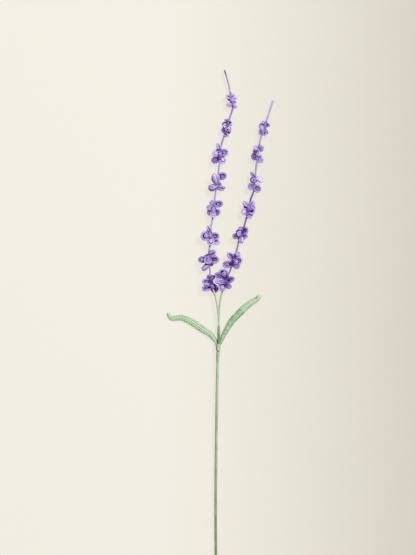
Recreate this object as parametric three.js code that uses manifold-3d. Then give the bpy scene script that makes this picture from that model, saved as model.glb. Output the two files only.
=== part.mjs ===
// A crocheted lavender spray lying on a table: a long wire stem wound with green yarn, a bound collar,
// two crocheted leaves, and two forked purple spikes that carry crocheted flowers.
// Millimetres. +X runs across the spray, +Y from the cut end of the stem to the tips, +Z up from the table.
import * as THREE from "three";
import { mergeVertices } from "three/addons/utils/BufferGeometryUtils.js";
import Module from "manifold-3d";

const wasm = await Module();
wasm.setup();

// Driving dimensions. Heights along the spray count from the top of the collar.
const GAP = 0.3; // between pieces that touch
const CUT_END = -217; // the cut end of the stem
const STEM_RADIUS = 1.2;
const STEM_WIRE_RADIUS = 0.75;
const WIRE_SHOWS = 0.9; // bare wire past the yarn at the cut end
const COLLAR_TOP = 0.5;
const COLLAR_FOOT = -14.5;
const NECK_TOP = 16;
const NECK_LINE = 0.7; // how far right of the stem's line the neck stands
const THREAD_START = 47.5; // where the green yarn ends and the purple thread begins
const LEFT_TIP = 233.3;
const RIGHT_TIP = 207.5;
const STEM_WIRE_PLAY = 0.15; // round the stem wire, inside its winding
const BRANCH_RADIUS = 0.8;
const SPIKE_RADIUS = 0.75;
const SPIKE_WIRE_RADIUS = 0.35;
const SPIKE_WIRE_FOOT = -12; // how deep the spike wires reach into the collar
const SPIKE_WIRE_SHORT = 1.5; // how far a spike's wire ends below its tip
const SPIKE_BORE = 0.5;
const RIGHT_KNOB_RADIUS = 1.0; // the thread end thickens the right tip
const KNOB_BANDS = 5;
const LEAF_WIRE_RADIUS = 0.3;
const LEAF_WIRE_PLAY = 0.2;
const LEAF_WIRE_FOOT = -3.5; // how deep the leaf wires reach into the collar
const LEAF_WIRE_SHORT = 5; // how far a leaf's wire ends short of its tip
const LEAF_WIRE_POINTS = 20;
const BLADE_BASE = 5.5; // where the crocheted blade starts along a leaf's wire
const LEAF_THICKNESS = 1.7;
const LEAF_ARCH = 1.5; // how far a leaf's edges hang below its middle, at the half width below
const LEAF_ARCH_HALF_WIDTH = 3;
const LEAF_EDGE_THINNING = 0.5; // the share of its thickness that a leaf loses at its edge
const LEAF_STATIONS = 20;
const LEAF_COLUMNS = 5;
const HEART_RADIUS = 1.9; // the crocheted strip wound round the spike inside each flower
const HEART_HALF_LENGTH = 5;
const PETAL_THICKNESS = 1.7;
const PETAL_CUP = 0.22; // depth of a petal's cup as a share of its width
const PETAL_FULLNESS = 1.06; // the yarn stands this much past the drawn outline
const PETAL_SIDES = 6;
const PETAL_BANDS = 4;
const UNDER_PRESS = 0.6; // how far the petals underneath are pressed flat by the table
const SIDES = 8; // of a wound tube
const WIRE_SIDES = 6; // of a thin wire
const STEM_STEPS = 20;
const SPIKE_STEPS = 42; // along each spike, the same for the wire and what is wound over it
const STRETCH_STEP = 2.5; // between the points of a stretch of a route
const JOIN = 0.5; // how far two solids that are joined reach into each other
const PAST = 1; // how far a cutting solid reaches past what it cuts
const SLAB_WIDTH = 200; // wider and deeper than the whole spray
const SLAB_DEPTH = 60;
const TABLE_CLEAR = 400; // longer than any half of the spray
const TABLE_HEADROOM = 40;

// Routes, as points chosen by hand: across, along, height above the table
const STEM_ROUTE = [
  [-1.5, CUT_END, 1.25],
  [-1.7, -180, 1.8],
  [-1.9, -150, 2.3],
  [-1.8, -115, 2.8],
  [-1.4, -80, 3.3],
  [-0.9, -47, 3.8],
  [-0.4, -20, 4.2],
  [0.2, COLLAR_TOP - 3, 4.4],
];
const LEFT_SPIKE_ROUTE = [
  [-0.1, SPIKE_WIRE_FOOT, 5.6],
  [0.2, -2.2, 5.6],
  [0.65, 1.2, 5.05],
  [0.7, 12, 5.05],
  [0.7, 16.5, 5.45],
  [0.7, 19, 5.5],
  [0.4, 25.5, 5.6],
  [-0.6, 33, 5.6],
  [-2.1, 41, 5.5],
  [-4.4, 47.5, 5.4],
  [-6.1, 55, 5.3],
  [-6.9, 64, 5.3],
  [-7.9, 72, 5.3],
  [-8.1, 76.5, 5.2],
  [-7, 84, 5.2],
  [-6.4, 98, 5.2],
  [-4.8, 106, 5.1],
  [-2.8, 124, 5],
  [-0.6, 139, 4.9],
  [1.5, 157, 4.7],
  [2, 166, 4.6],
  [4.2, 174.5, 4.5],
  [10, 193, 4.3],
  [12.4, 201, 4.2],
  [12.2, 206, 4.2],
  [10.6, 213, 4.2],
  [9, 222, 4.1],
  [5.7, 233.3, 4],
];
const RIGHT_SPIKE_ROUTE = [
  [-0.1, SPIKE_WIRE_FOOT, 3],
  [0.2, -2.2, 3.15],
  [0.65, 1.2, 3.95],
  [0.7, 12, 3.95],
  [0.7, 16.5, 3.6],
  [0.7, 19, 3.6],
  [0.9, 27, 3.8],
  [1.9, 37.5, 4.3],
  [3.4, 44, 4.6],
  [6.4, 54, 5],
  [10.2, 63, 5.2],
  [13.3, 71.5, 5.2],
  [16.2, 81.5, 5.2],
  [18, 90, 5.2],
  [22, 100, 5.1],
  [25.5, 114, 5],
  [27.7, 123.5, 5],
  [30.8, 132.5, 4.9],
  [31.7, 143.5, 4.8],
  [33, 155.5, 4.7],
  [35.1, 170, 4.5],
  [36.8, 177.5, 4.4],
  [41.5, 191, 4.3],
  [47, 208, 4.2],
];
// A leaf's route runs from the collar to the leaf's tip. Its first points are only the wire.
const LEFT_LEAF_ROUTE = [
  [-0.75, LEAF_WIRE_FOOT, 3.75],
  [-0.9, 0, 3.4],
  [-2.2, 3.5, 2.9],
  [-6.5, 9, 2.4],
  [-11, 12, 2.1],
  [-16, 15.3, 2],
  [-21, 18.7, 2],
  [-26.5, 21.7, 2],
  [-31.5, 23.2, 1.9],
  [-36, 22.7, 1.7],
  [-39.5, 22.6, 1.6],
  [-41.8, 25, 2],
  [-42.7, 27.8, 2.6],
];
const RIGHT_LEAF_ROUTE = [
  [1.05, LEAF_WIRE_FOOT, 3.75],
  [1.4, 0, 3.35],
  [3, 4, 2.9],
  [6.2, 11, 2.4],
  [12, 20.5, 2.1],
  [16.5, 25.3, 2],
  [20.5, 29.3, 2],
  [25, 33.5, 2],
  [29.5, 36.8, 1.9],
  [33.5, 39.2, 1.9],
  [36, 43.2, 2.2],
];
// Half the width of each leaf, at shares of its length from the collar
const LEFT_LEAF_WIDTHS = [
  [0, 1.3],
  [0.12, 2.3],
  [0.35, 3],
  [0.6, 2.9],
  [0.8, 2.2],
  [0.93, 1.6],
  [1, 0.9],
];
const RIGHT_LEAF_WIDTHS = [
  [0, 1.3],
  [0.15, 2],
  [0.4, 2.9],
  [0.65, 3],
  [0.85, 2.4],
  [0.95, 2],
  [1, 1],
];

// Each flower: its height, then its petals. A petal is rooted on the spike at a height above the
// flower's middle, and its tip reaches across, along and up from there. Then come its width and
// how far its cup is rolled from facing up, in degrees.
const LEFT_FLOWERS = [
  {
    height: 208,
    petals: [
      [3, 1.5, 7, 1.5, 3, 0],
      [2, -5, 4, 0.5, 3, -20],
      [1.5, 5, 2.5, 1, 3.5, 20],
      [-3.5, -5, -4, 0, 3.5, 20],
      [-4.5, 5, -5, 1, 4, -20],
    ],
  },
  {
    height: 185,
    petals: [
      [4, -1.5, 7, 0.5, 3.5, 20],
      [3.5, 5, 5, 1.5, 4.5, -20],
      [1.5, -3.5, 1, 2, 3.5, 0],
      [-1.5, -4, -3.5, 0, 4.5, 20],
      [-1, 4.5, -1.5, 2.5, 5, 20],
      [-5, 1.5, -8, 1.5, 3.5, 0],
    ],
  },
  {
    height: 162,
    petals: [
      [4, -2.5, 9.5, 0.5, 4, 0],
      [1.5, 7.5, 1.5, 1, 6, 10],
      [0.5, -6.5, 0.5, 1.5, 5, -10],
      [-3, -7, -6, -0.5, 5.5, 20],
      [-2.5, 4.5, -7, 0.5, 5.5, 0],
    ],
  },
  {
    height: 138.5,
    petals: [
      [4, 8, 6, 0.5, 6, 20],
      [-1.5, -2.5, 7, 4, 6.8, 0],
      [-4.5, -7.5, -5.5, 0.5, 6, 20],
      [-4, 7.5, -4.5, 0.5, 3, 0],
      [-4.5, 6, -7, 0, 3.5, 20],
    ],
  },
  {
    height: 115,
    petals: [
      [4, -2.5, 7.5, 1, 4.5, 0],
      [4.5, 8, 5.5, 0.5, 5.5, 20],
      [1, -6, 2, 1, 4.5, -20],
      [-1.5, -5.5, -3, -1, 5, 20],
      [-1.5, 6, -2.5, 0.5, 5.5, 20],
      [-1, -1, -7, 3, 5, 0],
    ],
  },
  {
    height: 92.5,
    petals: [
      [4, -2, 9, 0.5, 4, 0],
      [1, -8, -0.5, 2.5, 7.5, 0],
      [-1, 8, 0.5, 1, 6.5, 20],
      [-4, 8.5, -6, 0.5, 4.5, 0],
      [0, 1, -8, 2.5, 6, 0],
    ],
  },
  {
    height: 72,
    petals: [
      [3.5, 5.8, 7.8, 0.5, 5.5, 0],
      [0.5, 9, 0.5, 1, 6.5, 20],
      [1, -9, 0.5, 0.5, 5.2, 0],
      [2.5, -1.5, -3, 3.5, 6.5, 0],
      [-3, -5.5, -8.5, 0, 4.5, 0],
    ],
  },
  {
    height: 52,
    petals: [
      [4, -3.5, 7.5, -0.5, 3.5, 0],
      [4, 2.5, 7, 0.5, 4, 0],
      [1.5, -8, 1.5, 1, 5.5, 0],
      [-2.5, -8, -4.5, 0.5, 5, 0],
      [-0.5, 4.8, -7, -1.5, 5.5, 20],
    ],
  },
];
const RIGHT_FLOWERS = [
  {
    height: 184,
    petals: [
      [3.5, -1.5, 6.5, 0.5, 3, 0],
      [4, 5.5, 3, 1, 4, 20],
      [0.5, -4, 0, 1, 5, -20],
      [-2.5, -4, -4.5, 0, 4.5, 20],
      [-1, 3, -1.5, 1.5, 3.5, 0],
      [-3, 2.5, -6, 1, 3.5, 0],
    ],
  },
  {
    height: 162,
    petals: [
      [3, -3, 7.5, 0.5, 4, 0],
      [4, 5, 6.5, 1, 5, 20],
      [-1.5, -5.5, -2, -0.5, 6, 20],
      [2, 1.5, -1.5, 3, 4, 0],
      [-4, 5, -5.5, 1, 5, -20],
    ],
  },
  {
    height: 138,
    petals: [
      [4, -3.8, 9, 0.5, 3.2, 0],
      [3, 7, 2, 1, 5.5, 20],
      [1.5, -3, 3, 0.5, 4, -20],
      [-3.5, -6, -3, 0.5, 6, 0],
      [-0.5, 3, -1.5, 3, 4.5, 0],
      [-4, 5, -6.5, 0.5, 6, 0],
    ],
  },
  {
    height: 115,
    petals: [
      [2.5, -4.5, 7, 0.5, 4, 0],
      [3, 5.5, 7, 1, 4, 0],
      [0.5, 6.7, 2.2, 1, 3.5, 0],
      [-1.5, -6, -2, 1, 5.5, 0],
      [-1, 6, -1.5, 1.5, 6.5, 20],
      [-3.5, 3, -7, 1, 5, 0],
    ],
  },
  {
    height: 93.5,
    petals: [
      [4.5, -2, 6, 0.5, 4, 0],
      [4, 6.5, 4, 1, 6, 20],
      [-0.5, -7, -1.5, 0.5, 5, 0],
      [-0.5, 6, -1, 0, 4, 0],
      [-1.5, 1.5, -7, 1, 5, 0],
      [2, -2, 2.5, 3, 5, 0],
    ],
  },
  {
    height: 72,
    petals: [
      [2.5, 5, 7, 1, 5, 0],
      [0.5, -5.2, 6.3, 0.5, 5.2, 0],
      [-3, -9.5, -4, 0.5, 6, 0],
      [-1, 7.5, 0, 0.5, 6.5, 20],
      [-3, 5, -6, 0, 5, 0],
      [0, 2.5, -1, 3, 4.5, 0],
    ],
  },
  {
    height: 54,
    petals: [
      [1.5, -9.2, 6.8, 3.8, 5.2, 0],
      [2.5, -4.4, 10.2, 2.5, 8, 0],
      [-0.5, -9, 0.6, 4.5, 5.4, 0],
      [-2.5, -5, -7.5, 2.5, 6, 0],
      [-0.5, 7.6, 3.4, 1, 5, 20],
      [-2.5, 5.2, -5, 1, 4.5, 0],
    ],
  },
];
// The two petals that every flower lies on: root above the flower's middle, tip across and along, width
const UNDER_PETALS = [
  [2, -3.5, 3.5, 5],
  [-2, 3.5, -3.5, 5],
];

const STEM_YARN = new THREE.MeshStandardMaterial({ color: 0x96ad88, roughness: 0.85 });
const LEAF_YARN = new THREE.MeshStandardMaterial({ color: 0xa5c698, roughness: 0.85 });
const SPIKE_THREAD = new THREE.MeshStandardMaterial({ color: 0x9c84c4, roughness: 0.8 });
const FLOWER_YARN = new THREE.MeshStandardMaterial({ color: 0x8a68c0, roughness: 0.85 });
const WIRE = new THREE.MeshStandardMaterial({ color: 0x9a9a98, roughness: 0.4, metalness: 1 });

const vector = (point) => new THREE.Vector3(...point);
const curveThrough = (points) => new THREE.CatmullRomCurve3(points.map(vector), false, "centripetal");

// The place on a route that climbs steadily, at a given height along the spray
function placeAt(route, along) {
  let low = 0;
  let high = 1;
  for (let step = 0; step < 40; step += 1) {
    const middle = (low + high) / 2;
    if (route.getPoint(middle).y < along) low = middle;
    else high = middle;
  }
  return route.getPoint(low);
}

// The stretch of a route between two heights
function stretchOf(route, from, to) {
  const pieces = Math.max(4, Math.ceil((to - from) / STRETCH_STEP));
  const points = [];
  for (let i = 0; i <= pieces; i += 1) points.push(placeAt(route, from + ((to - from) * i) / pieces));
  return new THREE.CatmullRomCurve3(points, false, "centripetal");
}

// A geometry as a solid that can be joined and cut
function solidOf(geometry) {
  const bare = geometry.clone();
  bare.deleteAttribute("normal");
  bare.deleteAttribute("uv");
  const merged = mergeVertices(bare, 1e-4);
  return new wasm.Manifold(
    new wasm.Mesh({
      numProp: 3,
      vertProperties: merged.attributes.position.array,
      triVerts: new Uint32Array(merged.index.array),
    }),
  );
}

// A round rod along a curve
function rodAlong(curve, radius, steps, sides = SIDES) {
  const section = new THREE.Shape().absarc(0, 0, radius, 0, 2 * Math.PI, false);
  return solidOf(
    new THREE.ExtrudeGeometry(section, { steps, curveSegments: sides / 2, extrudePath: curve }),
  );
}

// A solid without the slivers that a cut leaves
function largestPiece(solid) {
  return solid.decompose().sort((a, b) => b.volume() - a.volume())[0];
}

// Everything between two heights along the spray
function slab(from, to) {
  const middle = (from + to) / 2;
  return solidOf(new THREE.BoxGeometry(SLAB_WIDTH, to - from, SLAB_DEPTH).translate(0, middle, 0));
}

// A closed solid through a row of rings. Each ring lists its points along one side and back along the other.
function loft(rings) {
  const count = rings[0].length;
  const corners = rings.flat().flatMap((point) => [point.x, point.y, point.z]);
  const faces = [];
  const quad = (a, b, c, d) => faces.push(a, b, c, a, c, d);
  for (let ring = 0; ring + 1 < rings.length; ring += 1) {
    for (let i = 0; i < count; i += 1) {
      const next = (i + 1) % count;
      quad(ring * count + i, ring * count + next, (ring + 1) * count + next, (ring + 1) * count + i);
    }
  }
  const last = (rings.length - 1) * count;
  for (let i = 0; i + 1 < count / 2; i += 1) {
    const across = count - 1 - i;
    quad(i, across, across - 1, i + 1);
    quad(last + i, last + i + 1, last + across - 1, last + across);
  }
  const geometry = new THREE.BufferGeometry();
  geometry.setAttribute("position", new THREE.Float32BufferAttribute(corners, 3));
  geometry.setIndex(faces);
  return solidOf(geometry);
}

// An oval solid that stands along the spray. Each level gives its height, half width and half depth.
function ovalAlong(route, levels) {
  const rings = levels.map(([along, halfWidth, halfDepth]) => {
    const middle = placeAt(route, along).setY(along);
    const ring = [];
    for (let i = 0; i < 2 * SIDES; i += 1) {
      const turn = ((i + 0.5) * Math.PI) / SIDES;
      const across = new THREE.Vector3(-halfWidth * Math.cos(turn), 0, halfDepth * Math.sin(turn));
      ring.push(across.add(middle));
    }
    return ring;
  });
  return loft(rings);
}

function valueAt(table, share) {
  const upper = Math.max(1, table.findIndex(([place]) => place >= share));
  const [lowPlace, lowValue] = table[upper - 1];
  const [highPlace, highValue] = table[upper];
  return lowValue + ((highValue - lowValue) * (share - lowPlace)) / (highPlace - lowPlace);
}

// One crocheted leaf: an arched band along its wire, highest in the middle
function leafAlong(route, widths) {
  const length = route.getLength();
  const rings = [];
  for (let station = 0; station <= LEAF_STATIONS; station += 1) {
    const share = station / LEAF_STATIONS;
    const at = (BLADE_BASE + share * (length - BLADE_BASE)) / length;
    const middle = route.getPointAt(at);
    const heading = route.getTangentAt(at).setZ(0).normalize();
    const sideways = new THREE.Vector3(heading.y, -heading.x, 0);
    const half = valueAt(widths, share);
    const place = (column, side) => {
      const across = -1 + (2 * column) / (LEAF_COLUMNS - 1);
      const drop = LEAF_ARCH * ((across * half) / LEAF_ARCH_HALF_WIDTH) ** 2;
      const thickness = LEAF_THICKNESS * (1 - LEAF_EDGE_THINNING * across * across);
      return middle
        .clone()
        .addScaledVector(sideways, across * half)
        .add(new THREE.Vector3(0, 0, (side * thickness) / 2 - drop));
    };
    const top = [];
    const bottom = [];
    for (let column = 0; column < LEAF_COLUMNS; column += 1) {
      top.push(place(column, 1));
      bottom.unshift(place(column, -1));
    }
    rings.push([...top, ...bottom]);
  }
  return loft(rings);
}

// One petal: a cupped lobe from its root on the spike to its tip
function petalAt(root, tip, width, rollDegrees) {
  const lobe = new THREE.SphereGeometry(1, PETAL_SIDES, PETAL_BANDS);
  const length = root.distanceTo(tip);
  const shape = lobe.attributes.position;
  for (let i = 0; i < shape.count; i += 1) {
    const across = shape.getX(i);
    const along = shape.getY(i);
    const face = shape.getZ(i);
    shape.setXYZ(
      i,
      (across * PETAL_FULLNESS * width) / 2,
      ((along + 1) * PETAL_FULLNESS * length) / 2,
      (face * PETAL_THICKNESS) / 2 + PETAL_CUP * width * across * across,
    );
  }
  const axis = tip.clone().sub(root).normalize();
  const up = new THREE.Vector3(0, 0, 1);
  const facing = up.addScaledVector(axis, -axis.z).normalize();
  facing.applyAxisAngle(axis, THREE.MathUtils.degToRad(rollDegrees));
  const sideways = new THREE.Vector3().crossVectors(axis, facing);
  lobe.applyMatrix4(new THREE.Matrix4().makeBasis(sideways, axis, facing));
  lobe.translate(root.x, root.y, root.z);
  return solidOf(lobe);
}

const aboveTable = solidOf(
  new THREE.BoxGeometry(TABLE_CLEAR, 2 * TABLE_CLEAR, TABLE_HEADROOM).translate(0, 0, TABLE_HEADROOM / 2),
);

// One crocheted flower: its strip wound round the spike, and its petals, pressed flat where it lies
function flowerOn(route, channel, { height, petals }) {
  const strip = stretchOf(route, height - HEART_HALF_LENGTH, height + HEART_HALF_LENGTH);
  let flower = rodAlong(strip, HEART_RADIUS, 2);
  const middle = placeAt(route, height);
  const under = UNDER_PETALS.map(([slide, across, along, width]) => [
    slide,
    across,
    along,
    -middle.z - UNDER_PRESS,
    width,
    180,
  ]);
  for (const [slide, across, along, lift, width, roll] of [...petals, ...under]) {
    const root = placeAt(route, height + slide);
    const tip = new THREE.Vector3(middle.x + across, height + along, middle.z + lift);
    flower = flower.add(petalAt(root, tip, width, roll));
  }
  return largestPiece(flower.subtract(channel).intersect(aboveTable));
}

const spray = new THREE.Group();

function addPiece(name, solid, material) {
  const { vertProperties, triVerts } = solid.getMesh();
  const geometry = new THREE.BufferGeometry();
  geometry.setAttribute("position", new THREE.BufferAttribute(vertProperties, 3));
  geometry.setIndex(new THREE.BufferAttribute(triVerts, 1));
  geometry.computeVertexNormals();
  const piece = new THREE.Mesh(geometry, material);
  piece.name = name;
  spray.add(piece);
}

const stemRoute = curveThrough(STEM_ROUTE);
const leftSpike = curveThrough(LEFT_SPIKE_ROUTE);
const rightSpike = curveThrough(RIGHT_SPIKE_ROUTE);
const leftLeaf = curveThrough(LEFT_LEAF_ROUTE);
const rightLeaf = curveThrough(RIGHT_LEAF_ROUTE);

// The stem: a thick wire wound with yarn up to the foot of the collar
function addStem() {
  const wound = stretchOf(stemRoute, CUT_END + WIRE_SHOWS, COLLAR_FOOT - GAP);
  const inside = stretchOf(stemRoute, CUT_END, COLLAR_FOOT + PAST);
  const bore = rodAlong(inside, STEM_WIRE_RADIUS + STEM_WIRE_PLAY, STEM_STEPS);
  addPiece("stem_wrap", rodAlong(wound, STEM_RADIUS, STEM_STEPS).subtract(bore), STEM_YARN);
  addPiece("stem_wire", rodAlong(stemRoute, STEM_WIRE_RADIUS, STEM_STEPS), WIRE);
}

// The outer shapes of the collar and the neck, oval windings over the wires that lie one before the other.
// Each level gives its height, half width and half depth.
const COLLAR_LEVELS = [
  [COLLAR_FOOT, 1.25, 1.4],
  [-11, 1.45, 2.35],
  [-6, 1.6, 2.45],
  [-3.5, 2, 2.55],
  [COLLAR_TOP, 2.4, 2.6],
];
const COLLAR_BORE_LEVELS = [
  [COLLAR_FOOT - 1, 0.95, 0.95],
  [-13, 1.05, 1.8],
  [-6, 1.15, 1.95],
  [-3.8, 1.65, 2],
  [COLLAR_TOP + 1, 2, 2.15],
];
const NECK_LEVELS = [
  [COLLAR_TOP + GAP, 1.05, 1.65],
  [3, 1.3, 1.55],
  [12, 1.3, 1.6],
  [NECK_TOP, 1.2, 1.75],
];
const NECK_BORE_LEVELS = [
  [COLLAR_TOP - 1, 0.7, 1.4],
  [3, 0.75, 1.25],
  [12, 0.75, 1.25],
  [NECK_TOP + 1, 0.7, 1.5],
];
const bindingRoute = curveThrough([...STEM_ROUTE.slice(-3), [0.3, COLLAR_TOP + 2, 4.45]]);
const neckRoute = curveThrough([[NECK_LINE, -5, 4.5], [NECK_LINE, 20, 4.55]]);
const grown = (levels, by) => levels.map(([along, width, depth]) => [along, width + by, depth + by]);

function addBindings() {
  const collar = ovalAlong(bindingRoute, COLLAR_LEVELS);
  addPiece("collar_wrap", collar.subtract(ovalAlong(bindingRoute, COLLAR_BORE_LEVELS)), STEM_YARN);
  const neck = ovalAlong(neckRoute, NECK_LEVELS);
  addPiece("neck_wrap", neck.subtract(ovalAlong(neckRoute, NECK_BORE_LEVELS)), STEM_YARN);
}

// A spike: its wire, its green wound branch, its purple wound length, closed over the wire at the tip,
// and its flowers, numbered from the tip down
function addSpike(side, route, top, knobRadius, flowers) {
  const wireTop = top - SPIKE_WIRE_SHORT;
  const core = stretchOf(route, SPIKE_WIRE_FOOT, wireTop);
  addPiece(side + "_spike_wire", rodAlong(core, SPIKE_WIRE_RADIUS, SPIKE_STEPS, WIRE_SIDES), WIRE);
  const boreEnd = rodAlong(stretchOf(route, wireTop - JOIN, wireTop + GAP), SPIKE_BORE, 1);
  const bore = rodAlong(core, SPIKE_BORE, SPIKE_STEPS).add(boreEnd);
  const branch = rodAlong(core, BRANCH_RADIUS, SPIKE_STEPS).intersect(slab(NECK_TOP + GAP, THREAD_START - GAP));
  addPiece(side + "_branch_wrap", branch.subtract(bore), STEM_YARN);
  const end = placeAt(route, top);
  const knob = new THREE.SphereGeometry(knobRadius, SIDES, KNOB_BANDS).translate(end.x, end.y, end.z);
  const thread = rodAlong(core, SPIKE_RADIUS, SPIKE_STEPS)
    .intersect(slab(THREAD_START, wireTop))
    .add(rodAlong(stretchOf(route, wireTop - JOIN, top), SPIKE_RADIUS, 1))
    .add(solidOf(knob));
  addPiece(side + "_spike_wrap", thread.subtract(bore), SPIKE_THREAD);
  const channel = rodAlong(core, SPIKE_RADIUS + GAP, SPIKE_STEPS);
  flowers.forEach((flower, i) =>
    addPiece(side + "_flower_" + (i + 1), flowerOn(route, channel, flower), FLOWER_YARN),
  );
}

// A leaf and the wire that it is crocheted over, which ends inside it
function addLeaf(side, route, widths) {
  const wireEnd = 1 - LEAF_WIRE_SHORT / route.getLength();
  const wirePoints = [];
  for (let i = 0; i <= LEAF_WIRE_POINTS; i += 1) {
    wirePoints.push(route.getPointAt((wireEnd * i) / LEAF_WIRE_POINTS));
  }
  const wireRoute = new THREE.CatmullRomCurve3(wirePoints, false, "centripetal");
  const wireRod = (radius) => rodAlong(wireRoute, radius, LEAF_WIRE_POINTS, WIRE_SIDES);
  const blade = leafAlong(route, widths)
    .subtract(wireRod(LEAF_WIRE_RADIUS + LEAF_WIRE_PLAY))
    .subtract(ovalAlong(neckRoute, grown(NECK_LEVELS, GAP)))
    .subtract(slab(COLLAR_FOOT, COLLAR_TOP + GAP))
    .intersect(aboveTable);
  addPiece(side + "_leaf", blade, LEAF_YARN);
  addPiece(side + "_leaf_wire", wireRod(LEAF_WIRE_RADIUS), WIRE);
}

addStem();
addBindings();
addSpike("left", leftSpike, LEFT_TIP, SPIKE_RADIUS, LEFT_FLOWERS);
addSpike("right", rightSpike, RIGHT_TIP, RIGHT_KNOB_RADIUS, RIGHT_FLOWERS);
addLeaf("left", leftLeaf, LEFT_LEAF_WIDTHS);
addLeaf("right", rightLeaf, RIGHT_LEAF_WIDTHS);

// The origin is the middle of the footprint, on the table
const box = new THREE.Box3().setFromObject(spray);
const middle = box.getCenter(new THREE.Vector3());
spray.children.forEach((piece) => piece.position.set(-middle.x, -middle.y, -box.min.z));

export default spray;
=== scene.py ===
"""A crocheted lavender spray lying on a pale floor, seen from straight above.

A long wire stem is wound with green yarn. A bound collar holds two crocheted leaves and two branches,
and each branch goes on as a thin purple spike that carries crocheted flowers.
Lengths are in millimetres, except those of the floor and the light, which are in metres. Heights along
the spray count from its origin at the top of the collar.
"""
import math
from collections import namedtuple

import bpy
import numpy as np
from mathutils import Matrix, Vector


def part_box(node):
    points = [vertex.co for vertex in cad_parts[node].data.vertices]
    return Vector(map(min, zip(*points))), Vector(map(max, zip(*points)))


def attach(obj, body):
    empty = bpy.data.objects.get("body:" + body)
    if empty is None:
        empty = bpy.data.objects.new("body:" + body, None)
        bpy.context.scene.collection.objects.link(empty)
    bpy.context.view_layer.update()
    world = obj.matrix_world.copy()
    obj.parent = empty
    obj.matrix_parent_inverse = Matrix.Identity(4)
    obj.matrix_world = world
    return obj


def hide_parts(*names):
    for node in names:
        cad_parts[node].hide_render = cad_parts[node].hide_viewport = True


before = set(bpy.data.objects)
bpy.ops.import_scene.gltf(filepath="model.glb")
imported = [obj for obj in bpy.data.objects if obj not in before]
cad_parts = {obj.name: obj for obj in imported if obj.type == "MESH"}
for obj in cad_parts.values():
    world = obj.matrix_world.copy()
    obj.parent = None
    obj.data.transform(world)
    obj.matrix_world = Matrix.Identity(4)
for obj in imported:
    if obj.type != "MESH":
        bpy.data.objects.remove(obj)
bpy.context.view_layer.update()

MM = 0.001

# The spray is drawn from a point at the collar's top. The neck stands a little to its right and starts a
# little above it, so the neck's box in the frame tells where that point is.
NECK_LINE = 0.7
NECK_FOOT = 0.8
neck_low, neck_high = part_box("neck_wrap")
ORIGIN = np.array([(neck_low.x + neck_high.x) / 2 / MM - NECK_LINE, neck_low.y / MM - NECK_FOOT, 0.0])

# Heights, from the cut end of the stem to the tips of the spikes
CUT_END = -217
COLLAR_FOOT = -14.5
COLLAR_TOP = 0.5
NECK_TOP = 16
THREAD_START = 47.5
RIGHT_TIP = 207.5
LEFT_TIP = 233.3
# The bare wire at the cut end, how far the stem's winding goes into the collar, the gap between one
# winding and the next, and how far along a leaf its blade begins
WIRE_SHOWS = 0.9
COLLAR_OVERLAP = 0.4
WINDING_GAP = 0.3
BLADE_BASE = 5.5

STEM_RADIUS = 1.2
STEM_WIRE_RADIUS = 0.75
BRANCH_RADIUS = 0.8
SPIKE_RADIUS = 0.75

# The radius of the crochet yarns, the pitch of the windings, the length of a twist and of a stitch
FLOWER_YARN = 0.48
LEAF_YARN = 0.38
STEM_TURN = 0.95
THREAD_TURN = 0.66
PLY_LENGTH = 1.6
PETAL_STITCH = 1.9
LEAF_STITCH = 2.2

rng = np.random.default_rng(7)


# Routes. Each point is right of the origin, up from it, and above the floor.

STEM_ROUTE = [
    (-1.5, CUT_END, 1.25),
    (-1.7, -180, 1.8),
    (-1.9, -150, 2.3),
    (-1.8, -115, 2.8),
    (-1.4, -80, 3.3),
    (-0.9, -47, 3.8),
    (-0.4, -20, 4.2),
    (0.2, COLLAR_TOP - 3, 4.4),
]
BINDING_ROUTE = STEM_ROUTE[-3:] + [(0.3, COLLAR_TOP + 2, 4.45)]
NECK_ROUTE = [(NECK_LINE, -5, 4.5), (NECK_LINE, 20, 4.55)]
LEFT_SPIKE_ROUTE = [
    (-0.1, -12, 5.6),
    (0.2, -2.2, 5.6),
    (0.65, 1.2, 5.05),
    (0.7, 12, 5.05),
    (0.7, 16.5, 5.45),
    (0.7, 19, 5.5),
    (0.4, 25.5, 5.6),
    (-0.6, 33, 5.6),
    (-2.1, 41, 5.5),
    (-4.4, 47.5, 5.4),
    (-6.1, 55, 5.3),
    (-6.9, 64, 5.3),
    (-7.9, 72, 5.3),
    (-8.1, 76.5, 5.2),
    (-7, 84, 5.2),
    (-6.4, 98, 5.2),
    (-4.8, 106, 5.1),
    (-2.8, 124, 5),
    (-0.6, 139, 4.9),
    (1.5, 157, 4.7),
    (2, 166, 4.6),
    (4.2, 174.5, 4.5),
    (10, 193, 4.3),
    (12.4, 201, 4.2),
    (12.2, 206, 4.2),
    (10.6, 213, 4.2),
    (9, 222, 4.1),
    (5.7, 233.3, 4),
]
RIGHT_SPIKE_ROUTE = [
    (-0.1, -12, 3),
    (0.2, -2.2, 3.15),
    (0.65, 1.2, 3.95),
    (0.7, 12, 3.95),
    (0.7, 16.5, 3.6),
    (0.7, 19, 3.6),
    (0.9, 27, 3.8),
    (1.9, 37.5, 4.3),
    (3.4, 44, 4.6),
    (6.4, 54, 5),
    (10.2, 63, 5.2),
    (13.3, 71.5, 5.2),
    (16.2, 81.5, 5.2),
    (18, 90, 5.2),
    (22, 100, 5.1),
    (25.5, 114, 5),
    (27.7, 123.5, 5),
    (30.8, 132.5, 4.9),
    (31.7, 143.5, 4.8),
    (33, 155.5, 4.7),
    (35.1, 170, 4.5),
    (36.8, 177.5, 4.4),
    (41.5, 191, 4.3),
    (47, 208, 4.2),
]
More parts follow.
